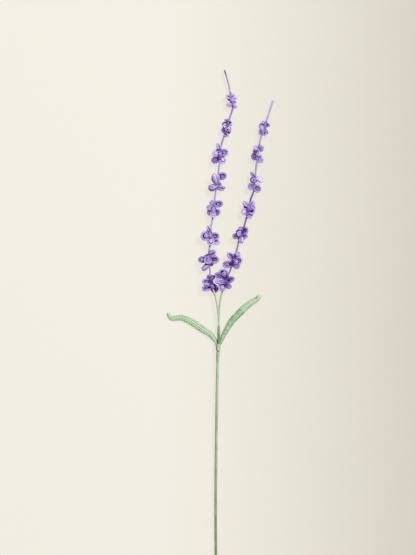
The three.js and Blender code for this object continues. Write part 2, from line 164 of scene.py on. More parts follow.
LEFT_LEAF_ROUTE = [
    (-0.75, -3.5, 3.75),
    (-0.9, 0, 3.4),
    (-2.2, 3.5, 2.9),
    (-6.5, 9, 2.4),
    (-11, 12, 2.1),
    (-16, 15.3, 2),
    (-21, 18.7, 2),
    (-26.5, 21.7, 2),
    (-31.5, 23.2, 1.9),
    (-36, 22.7, 1.7),
    (-39.5, 22.6, 1.6),
    (-41.8, 25, 2),
    (-42.7, 27.8, 2.6),
]
RIGHT_LEAF_ROUTE = [
    (1.05, -3.5, 3.75),
    (1.4, 0, 3.35),
    (3, 4, 2.9),
    (6.2, 11, 2.4),
    (12, 20.5, 2.1),
    (16.5, 25.3, 2),
    (20.5, 29.3, 2),
    (25, 33.5, 2),
    (29.5, 36.8, 1.9),
    (33.5, 39.2, 1.9),
    (36, 43.2, 2.2),
]
# Half the width of each leaf, at shares of its length from the collar
LEFT_LEAF_WIDTHS = [(0, 1.3), (0.12, 2.3), (0.35, 3), (0.6, 2.9), (0.8, 2.2), (0.93, 1.6), (1, 0.9)]
RIGHT_LEAF_WIDTHS = [(0, 1.3), (0.15, 2), (0.4, 2.9), (0.65, 3), (0.85, 2.4), (0.95, 2), (1, 1)]

# The collar and the neck: height, half width and half depth
COLLAR_LEVELS = [
    (COLLAR_FOOT, 1.25, 1.4),
    (-11, 1.45, 2.35),
    (-6, 1.6, 2.45),
    (-3.5, 2, 2.55),
    (COLLAR_TOP, 2.4, 2.6),
]
NECK_LEVELS = [
    (NECK_FOOT, 1.05, 1.65),
    (3, 1.3, 1.55),
    (12, 1.3, 1.6),
    (NECK_TOP, 1.2, 1.75),
]

# The flowers, from the tip of each spike down, by the height of their middles. A petal is rooted on the
# spike, slide above the flower's middle. Its tip lies across, along and lift from that middle. It faces
# up from the floor, turned by opens (right, up). It is hollow from 0 (a closed puff) to 1 (a deep cup),
# and tone makes its yarn paler above 0 and deeper below, partly as uneven dye and partly as painted
# light and shade.
Petal = namedtuple("Petal", "slide across along lift width opens hollow tone")
LEFT_FLOWERS = {
    208: [
        Petal(3, 1.5, 7, 1.5, 3, (0, 0), 0.1, 0.5),
        Petal(2, -5.4, 4, 0.8, 3.6, (0.3, 0.2), 0.2, 0.6),
        Petal(1.5, 5, 2.5, 1, 3.5, (0, 0.3), 0.1, 0.6),
        Petal(-3.5, -5, -4, 0.5, 3.8, (0.2, 0.2), 0.1, 0.6),
        Petal(-4.5, 5, -5, 1, 4, (0, 0), 0.1, 0.7),
    ],
    185: [
        Petal(4, -1.5, 7, 0.5, 3.5, (0, 0), 0.4, 0),
        Petal(3.5, 5, 4.6, 1.5, 5, (-0.5, -0.2), 0.8, 0.4),
        Petal(1.5, -3.5, 1, 2, 3.5, (0, 0), 0.4, 0.1),
        Petal(-1.5, -4.2, -3.5, 0, 4.8, (0, 0), 0.6, -0.5),
        Petal(-1, 4.5, -1.5, 2.5, 5, (0.2, 0), 0.2, 0.4),
        Petal(-5, 1.5, -8, 1.5, 3.5, (-0.3, 0), 0.9, 0.1),
    ],
    162: [
        Petal(4, -2.5, 9.5, 0.5, 4, (0.4, 0), 0.5, 0.4),
        Petal(1.5, 7.5, 1.5, 1, 6, (0, 0), 0.6, 0),
        Petal(0.5, -6.5, 0.5, 1.5, 5, (0, 0), 0.3, 0.2),
        Petal(-3, -7, -6, -0.5, 5.5, (0, 0), 0.5, -0.5),
        Petal(-2.5, 4.5, -7, 0.5, 5.5, (0, 0), 0.2, 0.3),
    ],
    138.5: [
        Petal(4, 8, 6, 0.5, 6, (-0.2, 0), 0.7, -0.2),
        Petal(-1.5, -2.5, 7, 4, 6.8, (0, 0), 0, 0.5),
        Petal(-4.5, -7.5, -5.5, 0.5, 6, (0.2, 0.3), 0.1, -0.1),
        Petal(-4, 7.5, -4.5, 0.5, 3, (0, -0.9), 0.3, 0.4),
        Petal(-4.5, 6, -7, 0, 3.5, (0, 0.9), 1, -0.1),
    ],
    115: [
        Petal(4, -2.5, 7.5, 1, 4.5, (0, 0), 0.3, 0),
        Petal(4.5, 8, 5.5, 0.5, 5.5, (-0.6, -0.2), 0.65, -0.2),
        Petal(1, -6, 2, 1, 4.5, (0, 0), 0.3, 0.1),
        Petal(-1.5, -5.5, -3, -1, 5, (-0.2, 0), 0.4, -0.1),
        Petal(-1.5, 6, -2.5, 0.5, 5.5, (-0.6, 0), 0.65, -0.2),
        Petal(-1, -1, -7, 3, 5, (0, 0), 0.3, 0.2),
    ],
    92.5: [
        Petal(4, -2, 9, 0.5, 4, (0.3, 0), 0.4, 0.1),
        Petal(1, -8, -0.5, 2.5, 7.5, (0, 0), 0.15, 0.1),
        Petal(-1, 8, 0.5, 1, 6.5, (-0.4, -0.1), 0.8, 0),
        Petal(-4, 8.5, -6, 0.5, 4.5, (0, 0.7), 0.5, 0.2),
        Petal(0, 1, -8, 2.5, 6, (0, 0), 0.2, 0.3),
    ],
    72: [
        Petal(3.5, 5.8, 7.8, 0.5, 5.5, (0, 0), 0.1, -0.2),
        Petal(0.5, 9, 0.5, 1, 6.5, (-0.4, 0), 0.8, 0),
        Petal(1, -9, 0.5, 0.5, 5.2, (0, 0), 0.2, -0.2),
        Petal(2.5, -1.5, -3, 3.5, 6.5, (0, 0), 0.4, 0),
        Petal(-3, -5.5, -8.5, 0.5, 4.5, (0, 0), 0.1, 0.2),
    ],
    52: [
        Petal(4, -3.5, 7.5, -0.5, 3.5, (0, 0), 0.6, -0.5),
        Petal(4, 2.5, 7, 0.5, 4, (0, 0), 0.3, -0.3),
        Petal(1.5, -8, 1.5, 1, 5.5, (0, 0.3), 0.7, 0.2),
        Petal(-2.5, -8, -4.5, 0.5, 5, (0, 0), 0.7, 0),
        Petal(-0.5, 4.2, -7, -1.5, 6.2, (0, 0), 0.7, -0.8),
    ],
}
RIGHT_FLOWERS = {
    184: [
        Petal(3.5, -1.5, 6.5, 0.5, 3, (0, 0), 0.3, 0),
        Petal(4, 5.5, 3, 1, 4, (-0.3, -0.6), 0.8, 0.2),
        Petal(0.5, -4, 0, 1, 5, (0, 0), 0.1, 0),
        Petal(-2.5, -4, -4.5, 0, 4.5, (0, 0), 0.5, -0.1),
        Petal(-1, 3, -1.5, 1.5, 3.5, (-0.3, 0), 0.7, 0.1),
        Petal(-3, 2.5, -6, 1, 3.5, (0, 0), 0.2, 0.4),
    ],
    162: [
        Petal(3, -3, 7.5, 0.5, 4, (0, 0), 0.3, 0.3),
        Petal(4, 5, 6.5, 1, 5, (-0.2, -0.5), 0.5, 0.1),
        Petal(-1.5, -5.5, -2, -0.5, 6, (0, 0), 0.5, -0.7),
        Petal(2, 1.5, -1.5, 3, 4, (0, 0), 0.2, 0.4),
        Petal(-4, 5, -5.5, 1, 5, (-0.2, 0), 0.3, 0.3),
    ],
    138: [
        Petal(4, -3.8, 9, 0.5, 3.2, (0, 0), 0.7, 0),
        Petal(3, 7, 2, 1, 5.5, (0, 0.3), 0.1, 0.6),
        Petal(1.5, -3, 3, 0.5, 4, (0, 0), 0.5, -0.2),
        Petal(-3.5, -6, -3, 0.5, 6, (0, 0), 0.5, -0.1),
        Petal(-0.5, 3, -1.5, 3, 4.5, (0, 0), 0.2, 0.4),
        Petal(-4, 5, -6.5, 0.5, 6, (0.4, -0.3), 0.6, 0.1),
    ],
    115: [
        Petal(2.5, -4.5, 7, 0.5, 4, (0, 0), 0.2, 0.3),
        Petal(3, 5.5, 7, 1, 4, (0, 0), 0.3, 0.3),
        Petal(0.5, 6.7, 2.2, 1, 3.5, (0, 0.3), 0.3, 0.2),
        Petal(-1.5, -6, -2, 1, 5.5, (0, 0), 0.4, 0.3),
        Petal(-1, 6, -1.5, 1.5, 6.5, (-0.4, 0.3), 1, 0),
        Petal(-3.5, 3, -7, 1, 5, (0, 0.2), 0.3, 0.2),
    ],
    93.5: [
        Petal(4.5, -2, 6, 0.5, 4, (0, 0), 0.3, 0),
        Petal(4, 6.5, 4, 1, 6, (-0.3, -0.3), 0.65, -0.1),
        Petal(-0.5, -7, -1.5, 0.5, 5, (0, 0.2), 0.4, -0.3),
        Petal(-0.5, 6, -1, 0, 4, (0, 0), 0.5, -0.4),
        Petal(-1.5, 1.5, -7, 1, 5, (0, 0), 0.1, 0.4),
        Petal(0.5, -3.2, 1.5, 3, 4.6, (0, 0), 0.3, 0.3),
    ],
    72: [
        Petal(2.5, 5, 7, 1, 5, (0, 0), 0.3, 0.2),
        Petal(0.5, -5.2, 6.3, 0.5, 5.2, (0.3, 0), 0.7, 0),
        Petal(-3, -9.5, -4, 0.5, 6, (0, 0), 0.7, 0),
        Petal(-1, 7.5, 0, 0.5, 6.5, (0, 0), 0.5, 0.2),
        Petal(-3, 5, -6, 0, 5, (0, 0), 0.4, -0.1),
        Petal(-1, 3.4, -1.5, 2.2, 4, (0, 0), 0.3, 0.1),
    ],
    54: [
        Petal(1.5, -9.2, 6.8, 3.8, 5.2, (0, 0), 0.6, -0.4),
        Petal(2.5, -4.4, 10.2, 2.5, 8, (0.1, -0.1), 0.2, 0),
        Petal(-0.5, -9, 0.6, 4.5, 5.4, (0, 0), 0.1, 0.2),
        Petal(-2.5, -5, -7.5, 2.5, 6, (0, 0), 0.2, 0.1),
        Petal(-0.5, 7.6, 3.4, 1, 5, (0, 0), 0.7, -0.4),
        Petal(-2.5, 5.2, -5, 1, 4.5, (0, 0), 0.5, -0.2),
    ],
}
# The two petals that every flower lies on, pressed flat by the floor: slide, across, along and width
UNDER_PETALS = [(2, -3.5, 3.5, 5), (-2, 3.5, -3.5, 5)]
UNDER_PRESS = 0.6


# Lines and directions

def unit(vectors):
    return vectors / np.maximum(np.linalg.norm(vectors, axis=-1, keepdims=True), 1e-9)


def dot(a, b):
    return np.sum(a * b, axis=-1, keepdims=True)


def between(ends, share):
    return ends[0] + (ends[1] - ends[0]) * share


def reach_along(points):
    """How far along a line each of its points lies."""
    return np.append(0, np.cumsum(np.linalg.norm(np.diff(points, axis=0), axis=1)))


def across_and_up(heading):
    """The level direction across each heading, and the one that stands up from both."""
    across = unit(np.cross(heading, [0, 0, 1]))
    return across, np.cross(across, heading)


class Route:
    """A smooth line through given points, read by the distance along it."""

    STEPS = 24
    HEADING_STEP = 0.4

    def __init__(self, points):
        given = np.array(points, float)
        given = np.vstack([2 * given[0] - given[1], given, 2 * given[-1] - given[-2]])
        made = []
        for before, start, end, after in zip(given, given[1:], given[2:], given[3:]):
            # A spline spaced by the square roots of the spans, which never overshoots into a loop
            pairs = ((before, start), (start, end), (end, after))
            spans = [np.linalg.norm(b - a) ** 0.5 for a, b in pairs]
            t0, t1, t2, t3 = 0, spans[0], spans[0] + spans[1], sum(spans)
            t = np.linspace(t1, t2, self.STEPS, endpoint=False)[:, None]
            a = ((t1 - t) * before + (t - t0) * start) / (t1 - t0)
            b = ((t2 - t) * start + (t - t1) * end) / (t2 - t1)
            c = ((t3 - t) * end + (t - t2) * after) / (t3 - t2)
            d = ((t2 - t) * a + (t - t0) * b) / (t2 - t0)
            e = ((t3 - t) * b + (t - t1) * c) / (t3 - t1)
            made.append(((t2 - t) * d + (t - t1) * e) / (t2 - t1))
        self.points = np.vstack(made + [given[-2:-1]])
        self.reach = reach_along(self.points)
        self.length = self.reach[-1]

    def places(self, distances):
        return np.stack([np.interp(distances, self.reach, self.points[:, k]) for k in range(3)], -1)

    def headings(self, distances):
        ahead = self.places(np.minimum(distances + self.HEADING_STEP, self.length))
        behind = self.places(np.maximum(distances - self.HEADING_STEP, 0))
        return unit(ahead - behind)

    def distance_at(self, height):
        """How far along a route that climbs steadily a height is reached."""
        return np.interp(height, self.points[:, 1], self.reach)


def evenly(points, spacing):
    """The same line as evenly spaced points."""
    reach = reach_along(points)
    count = max(3, int(round(reach[-1] / spacing)) + 1)
    at = np.linspace(0, reach[-1], count)
    return np.stack([np.interp(at, reach, points[:, k]) for k in range(3)], -1)


def directions_across(lines):
    """Two directions across each of several lines, which turn about it as little as they can."""
    heading = unit(np.gradient(lines, axis=1))
    first = heading[:, 0]
    steep = np.abs(first[:, 2:]) >= 0.8
    helper = np.where(steep, [[1.0, 0.0, 0.0]], [[0.0, 0.0, 1.0]])
    side = unit(np.cross(first, helper))
    sides = []
    for place in range(lines.shape[1]):
        ahead = heading[:, place]
        side = unit(side - dot(side, ahead) * ahead)
        sides.append(side)
    sides = np.stack(sides, 1)
    return sides, np.cross(heading, sides)


# Painted shade from crowding: how far and how strongly yarn darkens the colour of its neighbours, and
# where that starts and ends to show
CROWD_REACH = 4.0
CROWD_STRENGTH = 2.6
CROWD_START = 0.24
CROWD_END = 0.95
# The least squared distance that counts, what softens the nearest yarn, and how many points go at once
CROWD_LEAST = 0.04
CROWD_SOFTENING = 0.3
CROWD_BATCH = 1500


def crowd_shade(points, outward, beads, sizes):
    """How much of what each point faces is taken up by yarn close to it, from 0 (free) to 1 (buried)."""
    # What this works out is painted shade: it darkens the yarn's colour where other yarn crowds what it
    # faces
    crowded = []
    for start in range(0, len(points), CROWD_BATCH):
        here, out = points[start:start + CROWD_BATCH], outward[start:start + CROWD_BATCH]
        apart = (here**2).sum(1)[:, None] + (beads**2).sum(1)[None] - 2 * here @ beads.T
        apart = np.maximum(apart, CROWD_LEAST)
        ahead = np.maximum(out @ beads.T - (out * here).sum(1)[:, None], 0)
        fade = np.clip(1 - apart / CROWD_REACH**2, 0, 1) ** 2
        shade = ahead / np.sqrt(apart) * sizes[None] / (apart + CROWD_SOFTENING) * fade
        crowded.append(shade.sum(1) / math.pi)
    buried = 1 - np.exp(-CROWD_STRENGTH * np.concatenate(crowded))
    return np.clip((buried - CROWD_START) / (CROWD_END - CROWD_START), 0, 1)


# Yarn made into meshes

# How far the closed end of a yarn stands out, as a share of its radius
END_BULGE = 0.35
# How far the strands of a chain of stitches weave up and down, as a share of their radius
CHAIN_WEAVE = 0.7


class YarnWork:
    """Lengths of yarn that are gathered into one piece.

    Each face corner knows how far along its yarn it lies and how far round it. Each point knows
    how much painted shade it takes where it lies in a hollow and among other yarn, and its tone, which
    is partly uneven dye and partly painted light and shade. Beads along the yarn stand for it where it
    crowds other yarn and paints shade on it.
    """

    gathered = []

    def __init__(self):
        self.points, self.faces, self.yarn_places, self.hollow, self.tone = [], [], [], [], []
        self.outward, self.beads, self.bead_sizes = [], [], []
        self.count = 0

    def add_skin(self, rings, along, around, hollow, tone):
        """A tube through rings of points, closed at both ends. around gives each column's place round
        the yarn, with one more value than there are columns, so that the last column meets the first."""
        length, sides = rings.shape[:2]
        i, j = np.meshgrid(np.arange(length - 1), np.arange(sides), indexing="ij")
        here, there = i * sides + j, i * sides + (j + 1) % sides
        quads = np.stack([here, there, there + sides, here + sides], -1).reshape(-1, 4) + self.count
        along = np.broadcast_to(along, (length, sides + 1))
        around = np.broadcast_to(around, (length, sides + 1))

        def corner(row, column):
            return np.stack([along[row, column], around[row, column]], -1)

        places = np.stack([corner(i, j), corner(i, j + 1), corner(i + 1, j + 1), corner(i + 1, j)], 2)
        self.faces += quads.tolist()
        self.yarn_places.append(places.reshape(-1, 2))
        self.points.append(rings.reshape(-1, 3))
        self.outward.append(unit(rings - rings.mean(1, keepdims=True)).reshape(-1, 3))
        self.hollow.append(np.broadcast_to(hollow, (length, sides)).ravel())
        self.tone.append(np.broadcast_to(tone, (length, sides)).ravel())
        start = self.count
        self.count += length * sides
        self.close_end(rings[0], rings[1], start, along[0, 0], outwards=-1)
        self.close_end(rings[-1], rings[-2], start + (length - 1) * sides, along[-1, 0], outwards=1)

    def close_end(self, ring, inner_ring, start, along, outwards):
        """A low cone over the last ring of a tube, whose points are numbered from start."""
        sides = len(ring)
        middle = ring.mean(0)
        bulge = END_BULGE * np.linalg.norm(ring[0] - middle)
        tip = middle + bulge * unit(middle - inner_ring.mean(0))
        self.points.append(tip[None])
        self.outward.append(unit(tip - middle)[None])
        self.hollow.append(self.hollow[-1][-1:])
        self.tone.append(self.tone[-1][-1:])
        columns = np.arange(sides)
        pair = (start + columns, start + (columns + 1) % sides)[::outwards]
        self.faces += np.stack([*pair, np.full(sides, self.count)], -1).tolist()
        place = np.stack([np.full(sides, along), columns / sides], -1)
        self.yarn_places.append(np.repeat(place, 3, axis=0))
        self.count += 1

    def add_strands(self, lines, radius, hollow=0, tone=0, sides=8):
        """Round strands of yarn. Their radius, hollow and tone may differ between them and along each."""
        side, other = directions_across(lines)
        radius = np.broadcast_to(radius, lines.shape[:2])
        hollows = np.broadcast_to(hollow, lines.shape[:2])[..., None]
        tones = np.broadcast_to(tone, lines.shape[:2])[..., None]
        angle = np.arange(sides)[:, None] * 2 * math.pi / sides
        around = np.arange(sides + 1)[None] / sides
        for line, a, b, thickness, hollow, tone in zip(lines, side, other, radius, hollows, tones):
            out = a[:, None] * np.cos(angle) + b[:, None] * np.sin(angle)
            rings = line[:, None] + out * thickness[:, None, None]
            along = reach_along(line)
            self.add_beads(line[1::2], thickness.mean(), along[-1])
            along = along + rng.uniform(0, PLY_LENGTH)
            self.add_skin(rings, along[:, None], around, hollow, tone)

    def add_beads(self, places, thickness, length):
        self.beads.append(places)
        self.bead_sizes.append(np.full(len(places), 2 * thickness * length / len(places)))

    def lift_clear(self, floor=0.02):
        """Presses flat what would sink into the floor."""
        for points in self.points:
            points[:, 2] = np.maximum(points[:, 2], floor)

    def make(self, name, material, replaced, slot):
        self.name, self.material, self.replaced, self.slot = name, material, replaced, slot
        self.gathered.append(self)

    def neighbours(self, points):
        """The beads of every piece that come near this one."""
        beads = np.vstack([bead for work in self.gathered for bead in work.beads])
        sizes = np.concatenate([size for work in self.gathered for size in work.bead_sizes])
        low, high = points.min(0) - CROWD_REACH, points.max(0) + CROWD_REACH
        near = np.all((beads > low) & (beads < high), axis=1)
        return beads[near].astype(np.float32), sizes[near].astype(np.float32)

    def make_piece(self):
        name, points = self.name, np.vstack(self.points)
        outward = np.vstack(self.outward).astype(np.float32)
        crowded = crowd_shade(points.astype(np.float32), outward, *self.neighbours(points))
        # Painted shade from crowding joins the painted shade given for hollows, in the hollow attribute
        hollow = 1 - (1 - np.concatenate(self.hollow)) * (1 - crowded)
        points = (points + ORIGIN) * MM
        mesh = bpy.data.meshes.new(name)
        mesh.from_pydata(points.tolist(), [], self.faces)
        layer = mesh.uv_layers.new(name="yarn")
        layer.uv.foreach_set("vector", np.vstack(self.yarn_places).astype(np.float32).ravel())
        for label, values in (("hollow", hollow), ("tone", np.concatenate(self.tone))):
            attribute = mesh.attributes.new(label, "FLOAT", "POINT")
            attribute.data.foreach_set("value", values.astype(np.float32))
        mesh.shade_smooth()
        mesh.materials.append(self.material)
        piece = bpy.data.objects.new(name, mesh)
        bpy.context.scene.collection.objects.link(piece)
        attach(piece, "root")
        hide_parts(*self.replaced)


def add_plait(work, line, across, facing, yarn, stitch, spread=1.0, **shade):
    """A chain of stitches: three strands that cross over one another, one stitch after another."""
    reach = reach_along(line)
    strands = []
    for third in range(3):
        turn = 2 * math.pi * (reach / (3 * stitch) + third / 3)
        sway = spread * yarn * np.sin(turn)[:, None]
        weave = CHAIN_WEAVE * yarn * np.sin(2 * turn)[:, None]
        strands.append(line + across * sway + facing * weave)
    work.add_strands(np.stack(strands), yarn, **shade)


# Materials

# How uneven the dye is, how much of the deep colour is painted between the plies as shade, how much of the
# painted shade colour goes inside the stitches, and how much the fibres lighten and darken the yarn
DYE_UNEVEN = 0.8
PLY_GROOVE_SHADE = 0.55
PAINTED_SHADE_SHARE = 0.9
FIBRE_SHADE = 0.5


def new_group(name, inputs, outputs):
    group = bpy.data.node_groups.new(name, "ShaderNodeTree")
    for label, default in inputs:
        socket = group.interface.new_socket(label, in_out="INPUT", socket_type="NodeSocketFloat")
        socket.default_value = default
    for label in outputs:
        group.interface.new_socket(label, in_out="OUTPUT", socket_type="NodeSocketFloat")
    nodes = group.nodes
    return group, nodes.new("NodeGroupInput"), nodes.new("NodeGroupOutput")


def calculate(tree, operation, *values):
    node = tree.nodes.new("ShaderNodeMath")
    node.operation = operation
    for socket, value in zip(node.inputs, values):
        if isinstance(value, (int, float)):
            socket.default_value = value
        else:
            tree.links.new(value, socket)
    return node.outputs[0]


def make_plies_group():
    """The twisted plies of a yarn: how high each point stands, and how deep in the groove between them."""
    group, given, made = new_group(
        "yarn plies", [("Plies", 3), ("Turn length", PLY_LENGTH)], ["Height", "Groove"]
    )
    places = group.nodes.new("ShaderNodeUVMap")
    places.uv_map = "yarn"
    parts = group.nodes.new("ShaderNodeSeparateXYZ")
    group.links.new(places.outputs[0], parts.inputs[0])
    along = calculate(group, "DIVIDE", parts.outputs[0], given.outputs["Turn length"])
    around = calculate(group, "MULTIPLY", parts.outputs[1], given.outputs["Plies"])
    turns = calculate(group, "ADD", along, around)
    wave = calculate(group, "SINE", calculate(group, "MULTIPLY", turns, 2 * math.pi))
    height = calculate(group, "SQRT", calculate(group, "MULTIPLY_ADD", wave, 0.5, 0.5))
    group.links.new(height, made.inputs["Height"])
    groove = calculate(group, "POWER", calculate(group, "SUBTRACT", 1, height), 1.5)
    group.links.new(groove, made.inputs["Groove"])
    return group


def make_fibres_group():
    """Fine fibres that lie along the twist of the yarn."""
    group, given, made = new_group("yarn fibres", [("Fineness", 9)], ["Height"])
    places = group.nodes.new("ShaderNodeUVMap")
    places.uv_map = "yarn"
    stretch = group.nodes.new("ShaderNodeMapping")
    stretch.inputs["Scale"].default_value = (0.25, 1.6, 1)
    stretch.inputs["Rotation"].default_value = (0, 0, 0.4)
    group.links.new(places.outputs[0], stretch.inputs[0])
    noise = group.nodes.new("ShaderNodeTexNoise")
    noise.inputs["Detail"].default_value = 3
    group.links.new(stretch.outputs[0], noise.inputs["Vector"])
    group.links.new(given.outputs["Fineness"], noise.inputs["Scale"])
    group.links.new(noise.outputs[0], made.inputs["Height"])
    return group


def make_dye_group():
    """Soft uneven patches of dye over the whole piece."""
    group, given, made = new_group("uneven dye", [("Patches per metre", 160)], ["Shade"])
    place = group.nodes.new("ShaderNodeTexCoord")
    noise = group.nodes.new("ShaderNodeTexNoise")
    noise.inputs["Detail"].default_value = 2
    group.links.new(place.outputs["Object"], noise.inputs["Vector"])
    group.links.new(given.outputs["Patches per metre"], noise.inputs["Scale"])
    group.links.new(noise.outputs[0], made.inputs["Shade"])
    return group


PLIES = make_plies_group()
FIBRES = make_fibres_group()
DYE = make_dye_group()


def place_group(tree, group, **values):
    node = tree.nodes.new("ShaderNodeGroup")
    node.node_tree = group
    for label, value in values.items():
        node.inputs[label.replace("_", " ")].default_value = value
    return node


def mix_colours(tree, share, first, second, blend="MIX"):
    node = tree.nodes.new("ShaderNodeMix")
    node.data_type = "RGBA"
    node.blend_type = blend
    for label, value in (("Factor", share), ("A", first), ("B", second)):
        socket = node.inputs[label]
        if isinstance(value, tuple):
            socket.default_value = (*value, 1)
        elif isinstance(value, (int, float)):
            socket.default_value = value
        else:
            tree.links.new(value, socket)
    return node.outputs["Result"]


def srgb(red, green, blue):
    """A colour as a picture shows it, 0 to 255, as the light it sends back."""
    parts = np.array([red, green, blue]) / 255
    return tuple(np.where(parts < 0.04045, parts / 12.92, ((parts + 0.055) / 1.055) ** 2.4).tolist())


def yarn_material(name, pale, middle, deep, painted_shade_colour, sheen, ply_length, ply_depth):
    """Cotton yarn: twisted plies, fine fibres, uneven dye, and painted shade between the plies and inside
    the stitches.
    """
    material = bpy.data.materials.new(name)
    material.use_nodes = True
    tree = material.node_tree
    shader = tree.nodes["Principled BSDF"]
    plies = place_group(tree, PLIES, Turn_length=ply_length)
    fibres = place_group(tree, FIBRES)
    dye = place_group(tree, DYE)
    tone = tree.nodes.new("ShaderNodeAttribute")
    tone.attribute_name = "tone"
    hollow = tree.nodes.new("ShaderNodeAttribute")
    hollow.attribute_name = "hollow"
    lighter = calculate(tree, "MULTIPLY_ADD", tone.outputs["Fac"], 0.5, 0.5)
    uneven = calculate(tree, "MULTIPLY_ADD", dye.outputs["Shade"], DYE_UNEVEN, -DYE_UNEVEN / 2)
    share = calculate(tree, "ADD", lighter, uneven)
    ramp = tree.nodes.new("ShaderNodeValToRGB")
    ramp.color_ramp.elements[0].color = (*deep, 1)
    ramp.color_ramp.elements[1].color = (*pale, 1)
    ramp.color_ramp.elements.new(0.5).color = (*middle, 1)
    tree.links.new(share, ramp.inputs[0])
    # Painted shade: the deep colour laid in the grooves between the plies
    groove = calculate(tree, "MULTIPLY", plies.outputs["Groove"], PLY_GROOVE_SHADE)
    coloured = mix_colours(tree, groove, ramp.outputs[0], deep)
    # Painted shade: the hollow attribute mixes in the painted shade colour inside the stitches
    buried = calculate(tree, "MULTIPLY", hollow.outputs["Fac"], PAINTED_SHADE_SHARE)
    coloured = mix_colours(tree, buried, coloured, painted_shade_colour)
    fibre_light = calculate(
        tree, "MULTIPLY_ADD", fibres.outputs["Height"], FIBRE_SHADE, 1 - FIBRE_SHADE / 2
    )
    brush = tree.nodes.new("ShaderNodeCombineColor")
    for socket in brush.inputs:
        tree.links.new(fibre_light, socket)
    coloured = mix_colours(tree, 1.0, coloured, brush.outputs[0], "MULTIPLY")
    tree.links.new(coloured, shader.inputs["Base Color"])
    rough = calculate(tree, "MULTIPLY_ADD", fibres.outputs["Height"], -0.2, 0.9)
    tree.links.new(rough, shader.inputs["Roughness"])
    height = calculate(tree, "MULTIPLY_ADD", fibres.outputs["Height"], 0.3, plies.outputs["Height"])
    bump = tree.nodes.new("ShaderNodeBump")
    bump.inputs["Distance"].default_value = ply_depth * MM
    tree.links.new(height, bump.inputs["Height"])
    tree.links.new(bump.outputs[0], shader.inputs["Normal"])
    shader.inputs["Specular IOR Level"].default_value = 0.12
    shader.inputs["Sheen Weight"].default_value = sheen
    shader.inputs["Sheen Roughness"].default_value = 0.45
    shader.inputs["Sheen Tint"].default_value = (*middle, 1)
    return material


def wire_material():
    """Galvanised wire: faint drawing lines along it and a dull patchy zinc."""
    material = bpy.data.materials.new("galvanised wire")
    material.use_nodes = True
    tree = material.node_tree
    shader = tree.nodes["Principled BSDF"]
    dye = place_group(tree, DYE, Patches_per_metre=900)
    zinc = mix_colours(tree, dye.outputs["Shade"], srgb(150, 150, 148), srgb(196, 197, 196))
    tree.links.new(zinc, shader.inputs["Base Color"])
    rough = calculate(tree, "MULTIPLY_ADD", dye.outputs["Shade"], 0.3, 0.25)
    tree.links.new(rough, shader.inputs["Roughness"])
    bump = tree.nodes.new("ShaderNodeBump")
    bump.inputs["Distance"].default_value = 0.01 * MM
    tree.links.new(dye.outputs["Shade"], bump.inputs["Height"])
    tree.links.new(bump.outputs[0], shader.inputs["Normal"])
    shader.inputs["Metallic"].default_value = 1
    return material


FLOWER_COTTON = yarn_material(
    "purple crochet cotton",
    pale=srgb(236, 221, 254),
    middle=srgb(190, 170, 220),
    deep=srgb(112, 76, 162),
    painted_shade_colour=srgb(64, 22, 112),
    sheen=0.1,
    ply_length=PLY_LENGTH,
    ply_depth=0.08,
)
SPIKE_COTTON = yarn_material(
    "light purple winding thread",
    pale=srgb(204, 188, 230),
    middle=srgb(174, 154, 206),
    deep=srgb(102, 72, 146),
    painted_shade_colour=srgb(66, 32, 112),
    sheen=0.1,
    ply_length=PLY_LENGTH / 2,
    ply_depth=0.03,
)
STEM_COTTON = yarn_material(
    "sage green winding yarn",
    pale=srgb(202, 220, 190),
    middle=srgb(170, 192, 154),
    deep=srgb(116, 142, 100),
    painted_shade_colour=srgb(66, 92, 54),
    sheen=0.2,
    ply_length=PLY_LENGTH / 2,
    ply_depth=0.04,
)
LEAF_COTTON = yarn_material(
    "pale green crochet cotton",
    pale=srgb(208, 227, 200),
    middle=srgb(188, 208, 178),
    deep=srgb(144, 170, 132),
    painted_shade_colour=srgb(66, 102, 58),
    sheen=0.1,
    ply_length=PLY_LENGTH,
    ply_depth=0.06,
)
ZINC = wire_material()


# Flowers

# How far in from a petal's outline the middle of its edge lies, at the sides and at the tip
RIM_INSET = 0.6
TIP_INSET = 0.7
# The chain round a petal's edge, in degrees from its root, and how far apart its points are
RIM_TURN = (24, 336)
RIM_SPACING = 0.42
# How wide a petal is near its root, as a share of its width, and how much it gains towards its tip
ROOT_WIDTH = 0.82
WIDTH_GAIN = 0.36
# How far a petal's sides curl up, as shares of its width: when closed, and what hollow adds to that.
# Its tip curls up only when it is hollow.
SIDE_CURL = (0.04, 0.12)
TIP_CURL = 0.1
# How far a petal's face and back swell from its edge, as shares of its width: when closed, when hollow
FACE_SWELL = (0.36, -0.26)
BACK_SWELL = (-0.28, -0.45)
# How far apart their strands lie: when closed, when hollow
FACE_PITCH = (1.02, 1.7)
BACK_PITCH = (0.85, 0.85)
# How far across the strands spread: on the face, what hollow takes from that, and on the back
FACE_SPREAD = 0.75
FACE_GATHER = 0.3
BACK_SPREAD = 0.84
# Petals less hollow than this have at least three strands on each side
CLOSED = 0.2
# Where the strands begin and end between root and tip, their points, their thickness for that of the
# yarn, how far they slant and sway across the petal, and how uneven their places, thickness and dye are
STRAND_ENDS = (0.12, 0.93)
STRAND_POINTS = 12
STRAND_THICKNESS = 1.2
STRAND_SLANT = 0.25
STRAND_SWAY = 0.16
STRAND_PLACES = (-0.06, 0.06)
STRAND_UNEVEN = (0.85, 1.1)
STRAND_TONES = (-0.7, 0.6)
# How much painted shade the back of a petal takes, so that it shows as the shaded inside of the flower
# between the strands of its face
BACK_PAINTED_SHADE = 0.85
# How fast the painted shade at a petal's root fades, and how much deeper its colour is painted there as
# shade
ROOT_FADE = 2.2
ROOT_DEPTH = 0.4
